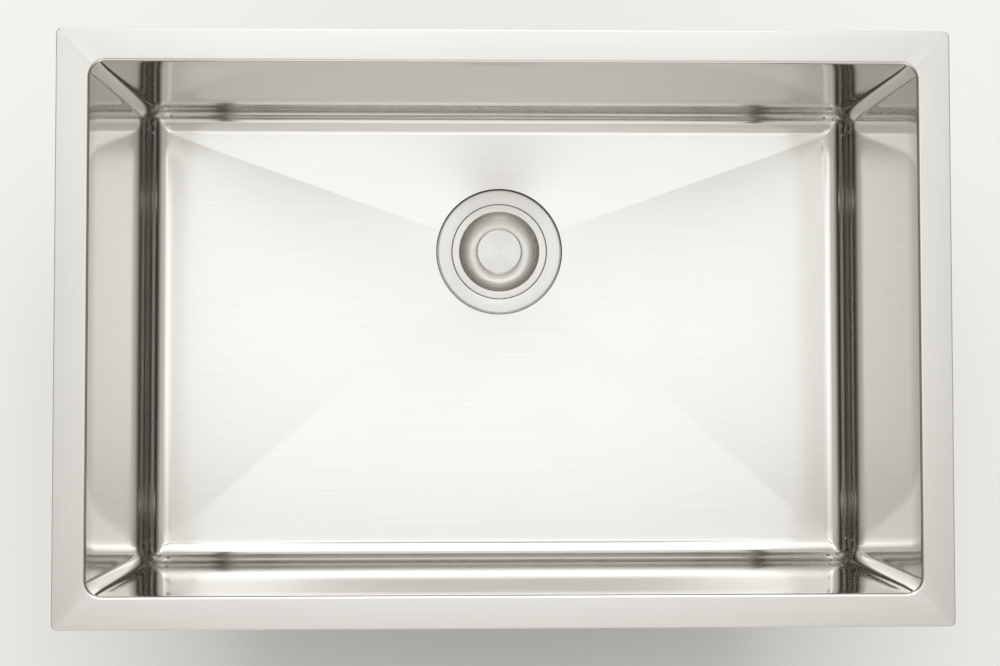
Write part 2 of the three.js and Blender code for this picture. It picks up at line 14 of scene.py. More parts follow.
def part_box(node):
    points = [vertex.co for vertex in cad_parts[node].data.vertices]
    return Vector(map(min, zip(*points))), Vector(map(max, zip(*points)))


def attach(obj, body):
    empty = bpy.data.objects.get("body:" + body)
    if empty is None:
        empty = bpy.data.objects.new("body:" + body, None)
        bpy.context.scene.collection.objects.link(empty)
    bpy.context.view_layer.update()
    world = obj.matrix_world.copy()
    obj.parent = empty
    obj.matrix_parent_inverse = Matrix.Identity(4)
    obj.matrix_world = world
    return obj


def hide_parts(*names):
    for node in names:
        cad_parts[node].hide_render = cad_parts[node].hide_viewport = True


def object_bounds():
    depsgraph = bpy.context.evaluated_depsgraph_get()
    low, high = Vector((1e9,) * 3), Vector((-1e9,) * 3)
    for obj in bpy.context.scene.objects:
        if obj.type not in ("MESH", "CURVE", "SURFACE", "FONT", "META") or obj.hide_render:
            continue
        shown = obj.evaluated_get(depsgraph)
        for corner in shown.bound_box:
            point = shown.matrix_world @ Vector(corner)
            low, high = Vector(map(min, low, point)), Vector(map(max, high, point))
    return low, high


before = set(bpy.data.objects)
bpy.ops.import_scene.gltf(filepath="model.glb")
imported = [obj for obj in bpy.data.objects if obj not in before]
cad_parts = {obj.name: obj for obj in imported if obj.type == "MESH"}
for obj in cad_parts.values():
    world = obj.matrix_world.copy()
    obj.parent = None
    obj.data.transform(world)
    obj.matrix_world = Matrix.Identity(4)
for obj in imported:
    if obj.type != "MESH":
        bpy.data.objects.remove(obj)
cad_box = [list(corner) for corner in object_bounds()]

MM = 0.001

# ---------------- Driving values

# Bowl
FLANGE_WIDTH = 25.4
FLANGE_CORNER = 4.5
SHEET = 1.5
FOLD_INNER = 1  # under the flange
WALL_CORNER = 12
BEND = 18
FLOOR_FALL = 6
RECESS_CLEARANCE = 0.5
RECESS_SLOPE = 1
RECESS_SIDE = 1.1  # level, between the two faces of the recess's side
DRAIN_HOLE_CLEARANCE = 0.5
SHEARED_EDGE = 0.25  # the round on the flange's cut edge

# Pads
GLUE_GAP = 0.3
PAD_CORNER = 12
PAD_EDGE = 0.8
FLOOR_PAD = 3  # its thickness
FLOOR_PAD_MARGIN = 22

# Strainer
BODY_WALL = 1
SEAT_WIDTH = 2.6
SEAT_DEPTH = 3.4
FLANGE_RING = 12.7
STRAINER_EDGE = 1.1
SEAT_EDGE = 0.45
SEAT_FOLD = 0.5
SEAT_FOLD_UNDER = 0.8
CUP_FOOT = 2
CUP_FOOT_UNDER = 2.5
FLANGE_DISH = 0.4  # the flange falls this much to the seat
LIP_CLEARANCE = 1.2  # between the strainer's turned-down edge and the recess
CUP_DEPTH = 62
CONE_DEPTH = 9
THREAD_PITCH = 4
THREAD_DEPTH = 1.4
THREAD_RISE = 0.7
CUP_THREAD = 24
OUTLET_THREAD = 20
FACE_GAP = 0.1

# Seals, nuts and tailpiece
SEAL_CLEARANCE = 0.5
SEAL_EDGE = 0.4
THIN_SEAL_EDGE = 0.3
FIBRE_EDGE = 0.15
LID_SEAL_CLEARANCE = 0.4  # to the basket's wall
NUT_EDGE = 0.8
BORE_EDGE = 0.5
LUG_FILLET = 1.4
THREAD_CLEARANCE = 0.3
LOCKNUT_WALL = 3  # round its bore, inside the lugs
LOCKNUT_LUGS = 6
LOCKNUT_LUG_RISE = 6
LOCKNUT_LUG_WIDTH = 12
COUPLING_WALL = 1.5  # round its bore, inside the ribs
COUPLING_RIBS = 8
COUPLING_RIB_RISE = 2.6
COUPLING_RIB_WIDTH = 7
COUPLING_LIP = 2.4
COUPLING_SLIP = 0.4
TAIL_RADIUS = 19.05
TAIL_WALL = 1
TAIL_FLANGE = 1.5
TAIL_FLANGE_EDGE = 0.5
TAIL_MOUTH = 0.6  # the round of the flange into the tube
OUTLET_BORE_CLEARANCE = 0.15

# Basket and its handle
BASKET_SHEET = 0.8
BASKET_CUP_CLEARANCE = 1.4
BASKET_FOOT = 4
LIP_FOLD = 1.2
LIP_FOLD_UNDER = 0.5
HOLE_RADIUS = 2.3
HOLE_EDGE = 0.2
HOLE_ROWS = 4
HOLE_ROW_PITCH = 9
HOLES_IN_ROW = 12
SOLID_BAND = 14
FLOOR_HOLES = 6
FLOOR_HOLE_PITCH = 15
HANDLE_WIRE = 1.5
HANDLE_BEND = 5
HANDLE_FOOT_STEP = 0.5
HANDLE_END = 0.75  # the wire's thickness at its very ends, as a share

# Lid, knob and screw
LID_SHEET = 1
LID_RIM = 6.4
DISH_DEPTH = 8
DISH_SIDE = 15
DISH_POWER = 2.8  # how steep its side starts at the rim
DISH_FOLD = 0.8
LID_EDGE = 0.45
LID_EDGE_UNDER = 0.25
KNOB_HEAD = 5
KNOB_EDGE = 2.3
KNOB_NECK = 8
KNOB_FILLET = 1.2
KNOB_CROWN = 3.2  # solid metal over the screw's hole
SCREW_HOLE = 2.3
SCREW_RADIUS = 2
SCREW_HEAD = 4.2
SCREW_HEAD_HEIGHT = 2.2
SCREW_HEAD_EDGE = 0.9
SCREW_POINT = 0.4
CROSS_REACH = 2.3
CROSS_WIDTH = 0.55
CROSS_DEPTH = 1.2
CROSS_SLOPE = 0.25  # the width of the cross's sides

# Rounds that several pieces share
FINE_EDGE = 0.2
SHEET_EDGE = 0.3
TUBE_EDGE = 0.4

# Fineness
TURNED_SIDES = 160
NUT_SIDES = 720
SCREW_SIDES = 96
WIRE_SIDES = 24
ARC_STEPS = 5
ARC_SHARE = 0.49  # of a side, at most, that the arc at one end takes
BEND_STEPS = 20
FOLD_STEPS = 8
CORNER_STEPS = 16
RECESS_STEPS = 6
PAD_CORNER_STEPS = 8
PAD_EDGE_STEPS = 4
FOOT_STEPS = 10
HANDLE_BEND_STEPS = 12
KNOB_STEPS = 8
DISH_STEPS = 16
CROSS_RINGS = 20  # on the screw's face
CROSS_RING_PITCH = 0.15
THREAD_ROWS = 14  # in one turn of a thread
CELL_STEPS = 16  # along one hole's share of the basket's wall
CELL_RISE_STEPS = 8  # across one row of holes
CELL_MIDDLE = 0.6  # a loop's place between a cell's edge and its hole
SHARP = 35  # degrees, from where an edge isn't smoothed
BOWL_SHARP = 50
RING_SHARP = 60
SAME_PLACE = 1e-4
MERGE = 1e-6  # metres
TINY = 1e-7  # metres

# ---------------- Places taken from the frame


def top(node):
    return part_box(node)[1].z / MM


def under(node):
    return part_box(node)[0].z / MM


def reach(node):
    """A node's radius about the drain's axis."""
    low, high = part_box(node)
    return (high.x - low.x) / 2 / MM


strainer_low, strainer_high = (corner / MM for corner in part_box("strainer_body"))
DRAIN_X = (strainer_low.x + strainer_high.x) / 2
DRAIN_Y = (strainer_low.y + strainer_high.y) / 2

HALF_X, HALF_Y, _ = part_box("bowl")[1] / MM
WALL_X = HALF_X - FLANGE_WIDTH
WALL_Y = HALF_Y - FLANGE_WIDTH
FLOOR_X = WALL_X - BEND
FLOOR_Y = WALL_Y - BEND
FOLD_OUTER = FOLD_INNER + SHEET
STRAINER_TOP = top("strainer_body")
STRAINER_RADIUS = reach("strainer_body")
UNDER_Z = under("bowl")
RECESS_Z = UNDER_Z + SHEET
FLOOR_LOW_Z = STRAINER_TOP  # the strainer lies flush
FLOOR_EDGE_Z = FLOOR_LOW_Z + FLOOR_FALL
RECESS_RADIUS = STRAINER_RADIUS + RECESS_CLEARANCE
SLOPE_TOP = RECESS_RADIUS + RECESS_SLOPE

SEAT_RADIUS = STRAINER_RADIUS - FLANGE_RING
SEAT_OUTER = SEAT_RADIUS + BODY_WALL
SEAT_Z = STRAINER_TOP - SEAT_DEPTH
DRAIN_HOLE = SEAT_OUTER + DRAIN_HOLE_CLEARANCE
CUP_RADIUS = SEAT_RADIUS - SEAT_WIDTH
CUP_OUTER = CUP_RADIUS + BODY_WALL
CUP_FLOOR_Z = STRAINER_TOP - CUP_DEPTH
OUTLET_TOP_Z = CUP_FLOOR_Z - CONE_DEPTH
OUTLET_RADIUS = TAIL_RADIUS + OUTLET_BORE_CLEARANCE
OUTLET_OUTER = reach("tailpiece_washer")
THREAD_ROOT = CUP_OUTER + THREAD_RISE
THREAD_TOP_Z = SEAT_Z - BODY_WALL - FACE_GAP
OUTLET_THREAD_TOP_Z = OUTLET_TOP_Z - BODY_WALL

BASKET_OUTER = CUP_RADIUS - BASKET_CUP_CLEARANCE
BASKET_INNER = BASKET_OUTER - BASKET_SHEET
LID_RADIUS = reach("lid")
LID_TOP_Z = top("lid")
DISH_RADIUS = LID_RADIUS - LID_RIM
DISH_FLOOR_Z = LID_TOP_Z - DISH_DEPTH

# ---------------- Mesh helpers


def add_mesh(name, points, faces, sharp=SHARP):
    """A smooth-shaded object from points in millimetres, keeping edges over the angle sharp."""
    mesh = bpy.data.meshes.new(name)
    mesh.from_pydata([Vector(p) * MM for p in points], [], faces)
    piece = bpy.data.objects.new(name, mesh)
    bpy.context.scene.collection.objects.link(piece)
    shade(mesh, sharp)
    return piece


def shade(mesh, sharp=SHARP):
    mesh.shade_smooth()
    mesh.set_sharp_from_angle(angle=radians(sharp))


def weld(piece, sharp=SHARP):
    """Merges points that coincide and turns the faces out."""
    mesh = bmesh.new()
    mesh.from_mesh(piece.data)
    bmesh.ops.remove_doubles(mesh, verts=mesh.verts, dist=MERGE)
    bmesh.ops.dissolve_degenerate(mesh, edges=mesh.edges, dist=TINY)
    bmesh.ops.recalc_face_normals(mesh, faces=mesh.faces)
    mesh.to_mesh(piece.data)
    mesh.free()
    shade(piece.data, sharp)


def loop_faces(loops, closed=True):
    """The points of some loops, and the faces that join each loop to the next."""
    count = len(loops[0])
    faces = []
    for i in range(len(loops) if closed else len(loops) - 1):
        here = i * count
        there = ((i + 1) % len(loops)) * count
        for k in range(count):
            after = (k + 1) % count
            faces.append((here + k, here + after, there + after, there + k))
    return [point for loop in loops for point in loop], faces


def loft(name, loops, sharp=SHARP):
    """Joins each loop of points to the next and the last to the first."""
    piece = add_mesh(name, *loop_faces(loops))
    weld(piece, sharp)
    return piece


def rounded(profile, steps=ARC_STEPS):
    """A closed outline with each corner that has a third value turned into an arc of that radius."""
    out = []
    for i, point in enumerate(profile):
        here = Vector(point[:2])
        if len(point) < 3:
            out.append(tuple(here))
            continue
        back = Vector(profile[i - 1][:2]) - here
        on = Vector(profile[(i + 1) % len(profile)][:2]) - here
        half = back.angle(on) / 2
        run = min(point[2] / tan(half), ARC_SHARE * back.length, ARC_SHARE * on.length)
        centre = here + (back.normalized() + on.normalized()).normalized() * (run / cos(half))
        start = here + back.normalized() * run - centre
        end = here + on.normalized() * run - centre
        sweep = -start.angle_signed(end)
        for k in range(steps + 1):
            turn = sweep * k / steps
            x = start.x * cos(turn) - start.y * sin(turn)
            y = start.x * sin(turn) + start.y * cos(turn)
            out.append(tuple(centre + Vector((x, y))))
    return out


def around_drain(radius, angle, z):
    return (DRAIN_X + radius * cos(angle), DRAIN_Y + radius * sin(angle), z)


def turned(name, profile, sides=TURNED_SIDES, warp=None, sharp=SHARP):
    """A piece turned about the drain's axis from [radius, height] points, up the outside first.

    warp(radius, z, angle) gives the radius and the height where they change round the axis.
    """
    loops = []
    for radius, z in profile:
        loop = []
        for k in range(sides):
            angle = 2 * pi * k / sides
            r, height = warp(radius, z, angle) if warp else (radius, z)
            loop.append(around_drain(r, angle, height))
        loops.append(loop)
    return loft(name, loops, sharp)


def put(piece, body, slot, node):
    """Rides on a body with a slot's finish, in place of the CAD node named."""
    piece.data.materials.append(FINISHES[slot])
    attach(piece, body)
    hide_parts(node)


def quarter(steps):
    return [pi / 2 * k / steps for k in range(steps + 1)]


def mixed(first, second, share):
    return tuple(a + (b - a) * share for a, b in zip(first, second))


# ---------------- Material helpers


def new_material(name):
    material = bpy.data.materials.new(name)
    material.use_nodes = True
    tree = material.node_tree
    return material, tree, tree.nodes["Principled BSDF"]


def feed(tree, node, inputs):
    """Links a node's inputs to sockets, or sets them to values."""
    for key, value in inputs.items():
        if isinstance(value, bpy.types.NodeSocket):
            tree.links.new(value, node.inputs[key])
        else:
            node.inputs[key].default_value = value


def add_node(tree, kind, inputs=None, **settings):
    """A node with its settings and its inputs."""
    made = tree.nodes.new(kind)
    for key, value in settings.items():
        setattr(made, key, value)
    feed(tree, made, inputs or {})
    return made


def maths(tree, operation, first, second=0.0):
    return add_node(tree, "ShaderNodeMath", {0: first, 1: second}, operation=operation).outputs[0]


def times(tree, first, second):
    return maths(tree, "MULTIPLY", first, second)


def vector_maths(tree, operation, first, second=(0.0, 0.0, 0.0)):
    made = add_node(tree, "ShaderNodeVectorMath", {0: first, 1: second}, operation=operation)
    return made.outputs["Value" if operation == "LENGTH" else "Vector"]


def remap(tree, value, low, high, out_low, out_high, smooth=False):
    made = add_node(
        tree,
        "ShaderNodeMapRange",
        {"Value": value, "From Min": low, "From Max": high, "To Min": out_low, "To Max": out_high},
        interpolation_type="SMOOTHSTEP" if smooth else "LINEAR",
    )
    return made.outputs[0]


def place(tree):
    """The place on the object, in metres."""
    return add_node(tree, "ShaderNodeTexCoord").outputs["Object"]


def split(tree, vector):
    return add_node(tree, "ShaderNodeSeparateXYZ", {0: vector}).outputs


def joined(tree, x, y, z):
    return add_node(tree, "ShaderNodeCombineXYZ", {"X": x, "Y": y, "Z": z}).outputs[0]


def noise(tree, vector, scale=1.0, detail=2.0, roughness=0.5):
    made = add_node(
        tree,
        "ShaderNodeTexNoise",
        {"Vector": vector, "Scale": scale, "Detail": detail, "Roughness": roughness},
    )
    return made.outputs["Fac"]


def bump(tree, height, strength, distance):
    inputs = {"Height": height, "Strength": strength, "Distance": distance}
    return add_node(tree, "ShaderNodeBump", inputs).outputs[0]


def tinted(tree, factor, dark, light):
    """A colour between two, by a factor."""
    made = add_node(
        tree, "ShaderNodeMix", {"Factor": factor, "A": (*dark, 1), "B": (*light, 1)}, data_type="RGBA"
    )
    return made.outputs["Result"]


# ---------------- Steel

STEEL_DARK = (0.735, 0.72, 0.695)
STEEL_LIGHT = (0.785, 0.77, 0.745)
LINES = 1400.0  # brush lines: steps of noise in a metre across them
LINE_LENGTH = 9.0  # and along them
SPUN_LENGTH = 1.6  # and in a radian of the rings round the drain
LINE_HEIGHT = 0.00004  # metres
CLOUDS = 7.0  # steps of noise in a metre
NOISE_RANGE = 0.3, 0.7  # where nearly all of a noise lies
CLOUD_ROUGHNESS = 0.95, 1.05  # times a steel's own, like the next
LINE_ROUGHNESS = 0.92, 1.08


def brushed_steel(name, grain, across, roughness, anisotropy, relief):
    """Brushed steel. grain is the place stretched along the lines, and across the way over them."""
    material, tree, shader = new_material(name)
    lines = noise(tree, grain(tree), detail=4.0, roughness=0.65)
    cloud = noise(tree, place(tree), CLOUDS, detail=3.0)
    low, high = (share * roughness for share in CLOUD_ROUGHNESS)
    level = remap(tree, cloud, *NOISE_RANGE, low, high)
    inputs = {
        "Base Color": tinted(tree, remap(tree, lines, *NOISE_RANGE, 0, 1), STEEL_DARK, STEEL_LIGHT),
        "Roughness": times(tree, level, remap(tree, lines, *NOISE_RANGE, *LINE_ROUGHNESS)),
        "Metallic": 1.0,
        "Anisotropic": anisotropy,
        "Tangent": across(tree),
        "Normal": bump(tree, lines, relief, LINE_HEIGHT),
    }
    feed(tree, shader, inputs)
    return material


def past_opening(tree):
    """How far a place lies past the opening's sides and past its ends, in metres."""
    at = split(tree, place(tree))
    past_x = maths(tree, "SUBTRACT", maths(tree, "ABSOLUTE", at["X"]), WALL_X * MM)
    past_y = maths(tree, "SUBTRACT", maths(tree, "ABSOLUTE", at["Y"]), WALL_Y * MM)
    return past_x, past_y


def lines_across(tree, across):
    """Lines that follow where one value stays the same."""
    at = split(tree, place(tree))
    slow_x = times(tree, at["X"], LINE_LENGTH)
    slow_y = times(tree, at["Y"], LINE_LENGTH)
    return joined(tree, slow_x, slow_y, times(tree, across, LINES))


def flange_grain(tree):
    """Straight lines along each side of the flange, which meet in mitres at its corners."""
    return lines_across(tree, maths(tree, "MAXIMUM", *past_opening(tree)))


def flange_across(tree):
    past_x, past_y = past_opening(tree)
    beside = maths(tree, "GREATER_THAN", past_x, past_y)
    return joined(tree, beside, maths(tree, "SUBTRACT", 1.0, beside), 0.0)


def attribute(tree, name, output):
    return add_node(tree, "ShaderNodeAttribute", attribute_name=name).outputs[output]


def wall_grain(tree):
    """Lines that follow the loops round the bowl."""
    return lines_across(tree, attribute(tree, "across", "Fac"))


def square_to(tree, along):
    """The direction in the surface that is square to another one."""
    normal = add_node(tree, "ShaderNodeNewGeometry").outputs["Normal"]
    return vector_maths(tree, "CROSS_PRODUCT", normal, along)


def wall_across(tree):
    return square_to(tree, attribute(tree, "along", "Vector"))


def floor_grain(tree):
    return vector_maths(tree, "MULTIPLY", place(tree), (LINE_LENGTH, LINES, LINES))


def floor_across(tree):
    return joined(tree, 0.0, 1.0, 0.0)


def from_drain(tree):
    return vector_maths(tree, "SUBTRACT", place(tree), (DRAIN_X * MM, DRAIN_Y * MM, 0.0))


def spun_grain(tree):
    """Rings about the drain's axis."""
    offset = from_drain(tree)
    at = split(tree, offset)
    radius = vector_maths(tree, "LENGTH", vector_maths(tree, "MULTIPLY", offset, (1.0, 1.0, 0.0)))
    around = maths(tree, "ABSOLUTE", maths(tree, "ARCTAN2", at["Y"], at["X"]))
    rings = times(tree, radius, LINES)
    slow = times(tree, around, SPUN_LENGTH)
    return joined(tree, rings, slow, times(tree, at["Z"], LINES))


def spun_across(tree):
    around = vector_maths(tree, "CROSS_PRODUCT", (0.0, 0.0, 1.0), from_drain(tree))
    return square_to(tree, around)


flange_steel = brushed_steel(
    "flange_steel", flange_grain, flange_across, roughness=0.34, anisotropy=0.4, relief=0.05
)
wall_steel = brushed_steel(
    "wall_steel", wall_grain, wall_across, roughness=0.09, anisotropy=0.3, relief=0.03
)
bend_steel = brushed_steel(
    "bend_steel", wall_grain, wall_across, roughness=0.12, anisotropy=0.4, relief=0.03
)
floor_steel = brushed_steel(
    "floor_steel", floor_grain, floor_across, roughness=0.17, anisotropy=0.4, relief=0.04
)
spun_steel = brushed_steel(
    "spun_steel", spun_grain, spun_across, roughness=0.26, anisotropy=0.9, relief=0.03
)

MILL_DARK = (0.47, 0.46, 0.44)
MILL_LIGHT = (0.58, 0.57, 0.545)
MILL_RANGE = 0.35, 0.65
ROLLING = (300.0, 300.0, 5.0)  # steps of noise in a metre, like the two below
MOTTLES = 55.0
ROLLING_SHARE = 0.4  # and the mottles' share is the rest
MILL_ROUGHNESS = 0.38, 0.5
CHROME_DARK = (0.62, 0.63, 0.65)
CHROME_LIGHT = (0.74, 0.75, 0.77)
CHROME_ROUGHNESS = 0.07, 0.16
DRAWING = (900.0, 900.0, 14.0)


def stretched(tree, stretch):
    return vector_maths(tree, "MULTIPLY", place(tree), stretch)


def mill_steel():
    """The sheet's unpolished outside, dull and mottled, with faint rolling lines."""
    material, tree, shader = new_material("mill_steel")
    rolled = noise(tree, stretched(tree, ROLLING), detail=3.0, roughness=0.6)
    mottle = noise(tree, place(tree), MOTTLES, detail=4.0, roughness=0.6)
    rolled = times(tree, rolled, ROLLING_SHARE)
    both = maths(tree, "ADD", rolled, times(tree, mottle, 1 - ROLLING_SHARE))
    inputs = {
        "Base Color": tinted(tree, remap(tree, both, *MILL_RANGE, 0, 1), MILL_DARK, MILL_LIGHT),
        "Roughness": remap(tree, both, *MILL_RANGE, *MILL_ROUGHNESS),
        "Metallic": 1.0,
        "Normal": bump(tree, both, strength=0.3, distance=0.00006),
    }
    feed(tree, shader, inputs)
    return material


def polished_tube():
    """Bright plate over the faint lines of a drawn tube."""
    material, tree, shader = new_material("tube_chrome")
    drawn = noise(tree, stretched(tree, DRAWING), detail=3.0, roughness=0.6)
    inputs = {
        "Base Color": tinted(tree, drawn, CHROME_DARK, CHROME_LIGHT),
        "Roughness": remap(tree, drawn, *NOISE_RANGE, *CHROME_ROUGHNESS),
        "Metallic": 1.0,
        "Normal": bump(tree, drawn, strength=0.05, distance=0.00002),
    }
    feed(tree, shader, inputs)
    return material


coat_steel = mill_steel()
FINISHES = {"strainer_steel": spun_steel, "tube_chrome": polished_tube()}

# ---------------- Rubber, fibre and plastic

ROUGHNESS_SPREAD = 0.08  # either way
GRAIN_LEVELS = 0.5, 1  # from the dark colour to the light one
MOTTLE_LEVELS = 0.6, 1
GRAIN_RELIEF = 0.5
MOTTLE_CLOUDS = 12.0  # steps of noise in a metre


def grained_material(name, dark, light, roughness, grains, depth):
    """A non-metal with a mottled colour and a fine grain that stands out of the surface.

    grains is the steps of noise in a metre, and depth is the grain's height in metres.
    """
    material, tree, shader = new_material(name)
    grain = noise(tree, place(tree), grains, detail=3.0, roughness=0.6)
    cloud = noise(tree, place(tree), MOTTLE_CLOUDS)
    fine = remap(tree, grain, *NOISE_RANGE, *GRAIN_LEVELS)
    both = times(tree, fine, remap(tree, cloud, *NOISE_RANGE, *MOTTLE_LEVELS))
    low, high = roughness - ROUGHNESS_SPREAD, roughness + ROUGHNESS_SPREAD
    inputs = {
        "Base Color": tinted(tree, both, dark, light),
        "Roughness": remap(tree, grain, *NOISE_RANGE, low, high),
        "Normal": bump(tree, grain, GRAIN_RELIEF, depth),
    }
    feed(tree, shader, inputs)
    return material


for slot, dark, light, roughness, grains, depth in (
    ("pad_rubber", (0.02, 0.02, 0.021), (0.05, 0.05, 0.052), 0.75, 1400.0, 0.0002),
    ("seal_rubber", (0.012, 0.012, 0.012), (0.035, 0.035, 0.035), 0.6, 2500.0, 0.00008),
    ("fibre", (0.34, 0.23, 0.13), (0.55, 0.42, 0.27), 0.9, 1800.0, 0.0001),
    ("nut_plastic", (0.66, 0.65, 0.61), (0.76, 0.75, 0.71), 0.45, 3000.0, 0.00003),
    ("washer_plastic", (0.74, 0.72, 0.67), (0.84, 0.82, 0.77), 0.4, 3000.0, 0.00003),
):
    FINISHES[slot] = grained_material(slot, dark, light, roughness, grains, depth)

# ---------------- Bowl

CORNERS = [(1, 1), (-1, 1), (-1, -1), (1, -1)]
SIDE_STEPS = {"back": 24, "left": 12, "front": 18, "right": 12}
CREASE_HALF = radians(0.35)
WALL_LOOPS = 8
FLOOR_SHARES = (0.006, 0.03, 0.1, 0.25, 0.45, 0.65, 0.85, 0.97)


def floor_height(x, y):
    """Height of the floor's upper face, which rises evenly from the recess out to its edge."""
    away = max(
        abs(x - DRAIN_X) / FLOOR_X,
        (y - DRAIN_Y) / (FLOOR_Y - DRAIN_Y),
        (DRAIN_Y - y) / (FLOOR_Y + DRAIN_Y),
    )
    distance = hypot(x - DRAIN_X, y - DRAIN_Y)
    return FLOOR_LOW_Z + FLOOR_FALL * (distance - SLOPE_TOP) / (distance / away - SLOPE_TOP)


def floor_corner(i):
    x, y = CORNERS[i % 4]
    return x * FLOOR_X, y * FLOOR_Y


def corner_angle(i):
    x, y = floor_corner(i)
    return atan2(y - DRAIN_Y, x - DRAIN_X) % (2 * pi)


def side_rays():
    """For each side, the angles of rays from the drain and the shares of the side where they end."""
    rays = []
    for i, steps in enumerate(SIDE_STEPS.values()):
        start = corner_angle(i)
        sweep = (corner_angle(i + 1) - start) % (2 * pi)
        turns = [CREASE_HALF] + [sweep * k / steps for k in range(1, steps)] + [sweep - CREASE_HALF]
        x0, y0 = floor_corner(i)
        x1, y1 = floor_corner(i + 1)
        side = []
        for turn in turns:
            dx, dy = cos(start + turn), sin(start + turn)
            cross = (x1 - x0) * dy - (y1 - y0) * dx
            share = ((DRAIN_X - x0) * dy - (DRAIN_Y - y0) * dx) / cross
            side.append((start + turn, share))
        rays.append(side)
    return rays


RAYS = side_rays()


def corner_point(i, half_x, half_y, corner, angle):
    """A point of the round corner between two sides of a level rectangle."""
    x, y = CORNERS[i % 4]
    return (
        x * (half_x - corner) + corner * cos(angle),
        y * (half_y - corner) + corner * sin(angle),
    )


def bowl_loop(half_x, half_y, corner, z):
    """A level rectangle with round corners."""
    points = []
    for i in range(4):
        for k in range(CORNER_STEPS + 1):
            angle = (i + k / CORNER_STEPS) * pi / 2
            points.append((*corner_point(i, half_x, half_y, corner, angle), z))
        square = (i + 1) * pi / 2
        start = corner_point(i, half_x, half_y, corner, square)
        end = corner_point(i + 1, half_x, half_y, corner, square)
        points.extend((*mixed(start, end, share), z) for _, share in RAYS[i])
    return points


def drain_loop(radius, height_at):
    """A round about the drain, point for point with a bowl loop."""
    points = []
    for i in range(4):
        angles = [corner_angle(i)] * (CORNER_STEPS + 1) + [angle for angle, _ in RAYS[i]]
        for angle in angles:
            x, y, _ = around_drain(radius, angle, 0)
            points.append((x, y, height_at(x, y)))
    return points


def level_round(radius, z):
    return drain_loop(radius, lambda x, y: z)


def fold_loop(radius, angle):
    out = FOLD_OUTER - radius * cos(angle)
    z = radius * sin(angle) - FOLD_OUTER
    return bowl_loop(WALL_X + out, WALL_Y + out, WALL_CORNER + out, z)


def bend_loop(radius, angle):
    out = radius * cos(angle)
    z = FLOOR_EDGE_Z + BEND - radius * sin(angle)
    return bowl_loop(FLOOR_X + out, FLOOR_Y + out, max(0, WALL_CORNER - BEND + out), z)


def wall_loops(offset):
    """Level loops down the straight wall, between the fold and the bend."""
    top_z, bottom_z = -FOLD_OUTER, FLOOR_EDGE_Z + BEND
    loops = []
    for k in range(1, WALL_LOOPS):
        z = top_z + (bottom_z - top_z) * k / WALL_LOOPS
        loops.append(bowl_loop(WALL_X + offset, WALL_Y + offset, WALL_CORNER + offset, z))
    return loops


def floor_loops(drop):
    """Loops from the floor's edge towards the recess."""
    edge = bend_loop(0, pi / 2)
    rim = drain_loop(SLOPE_TOP, floor_height)
    loops = []
    for share in FLOOR_SHARES:
        flat = [mixed(outer, inner, share) for outer, inner in zip(edge, rim)]
        loops.append([(x, y, floor_height(x, y) - drop) for x, y, _ in flat])
    return loops


def recess_loops(offset, drop, bottom_z):
    """The recess's side, eased at its top and foot."""
    loops = []
    for k in range(RECESS_STEPS + 1):
        share = k / RECESS_STEPS
        eased = (1 - cos(pi * share)) / 2
        rim = drain_loop(RECESS_RADIUS + offset + RECESS_SLOPE * (1 - share), floor_height)
        loops.append([(x, y, (z - drop) * (1 - eased) + bottom_z * eased) for x, y, z in rim])
    return loops


def flange_edge(inset, z):
    return bowl_loop(HALF_X - inset, HALF_Y - inset, FLANGE_CORNER - inset, z)


def bowl_zones():
    """The sheet's loops, down its upper face and up its lower one, each with its zone's finish."""
    cut = SHEARED_EDGE
    flat = 4 * cut  # well past the edge's round
    upper_edge = [flange_edge(0, -cut), flange_edge(cut, 0), flange_edge(flat, 0)]
    lower_edge = [flange_edge(flat, -SHEET), flange_edge(cut, -SHEET), flange_edge(0, cut - SHEET)]
    folds = [fold_loop(FOLD_OUTER, angle) for angle in reversed(quarter(FOLD_STEPS))]
    zones = [
        (flange_steel, upper_edge + [folds[0]]),
        (wall_steel, folds[1:] + wall_loops(0)),
        (bend_steel, [bend_loop(BEND, angle) for angle in quarter(BEND_STEPS)]),
        (floor_steel, floor_loops(0) + recess_loops(0, 0, RECESS_Z)),
        (floor_steel, [level_round(DRAIN_HOLE, RECESS_Z)]),
        (coat_steel, [level_round(DRAIN_HOLE, UNDER_Z), level_round(RECESS_RADIUS - RECESS_SLOPE, UNDER_Z)]),
        (coat_steel, recess_loops(RECESS_SIDE, SHEET, UNDER_Z)[::-1]),
        (coat_steel, floor_loops(SHEET)[::-1]),
        (coat_steel, [bend_loop(BEND + SHEET, angle) for angle in reversed(quarter(BEND_STEPS))]),
        (coat_steel, wall_loops(SHEET)[::-1]),
        (coat_steel, [fold_loop(FOLD_INNER, angle) for angle in quarter(FOLD_STEPS)]),
        (flange_steel, lower_edge),
    ]
    return [(material, loop) for material, loops in zones for loop in loops]


def along_loop(loop, k):
    """The loop's direction at one of its points, past any that coincide with it."""
    ends = []
    for way in (1, -1):
        step = way
        while (Vector(loop[(k + step) % len(loop)]) - Vector(loop[k])).length < SAME_PLACE:
            step += way
        ends.append(Vector(loop[(k + step) % len(loop)]))
    return (ends[0] - ends[1]).normalized()


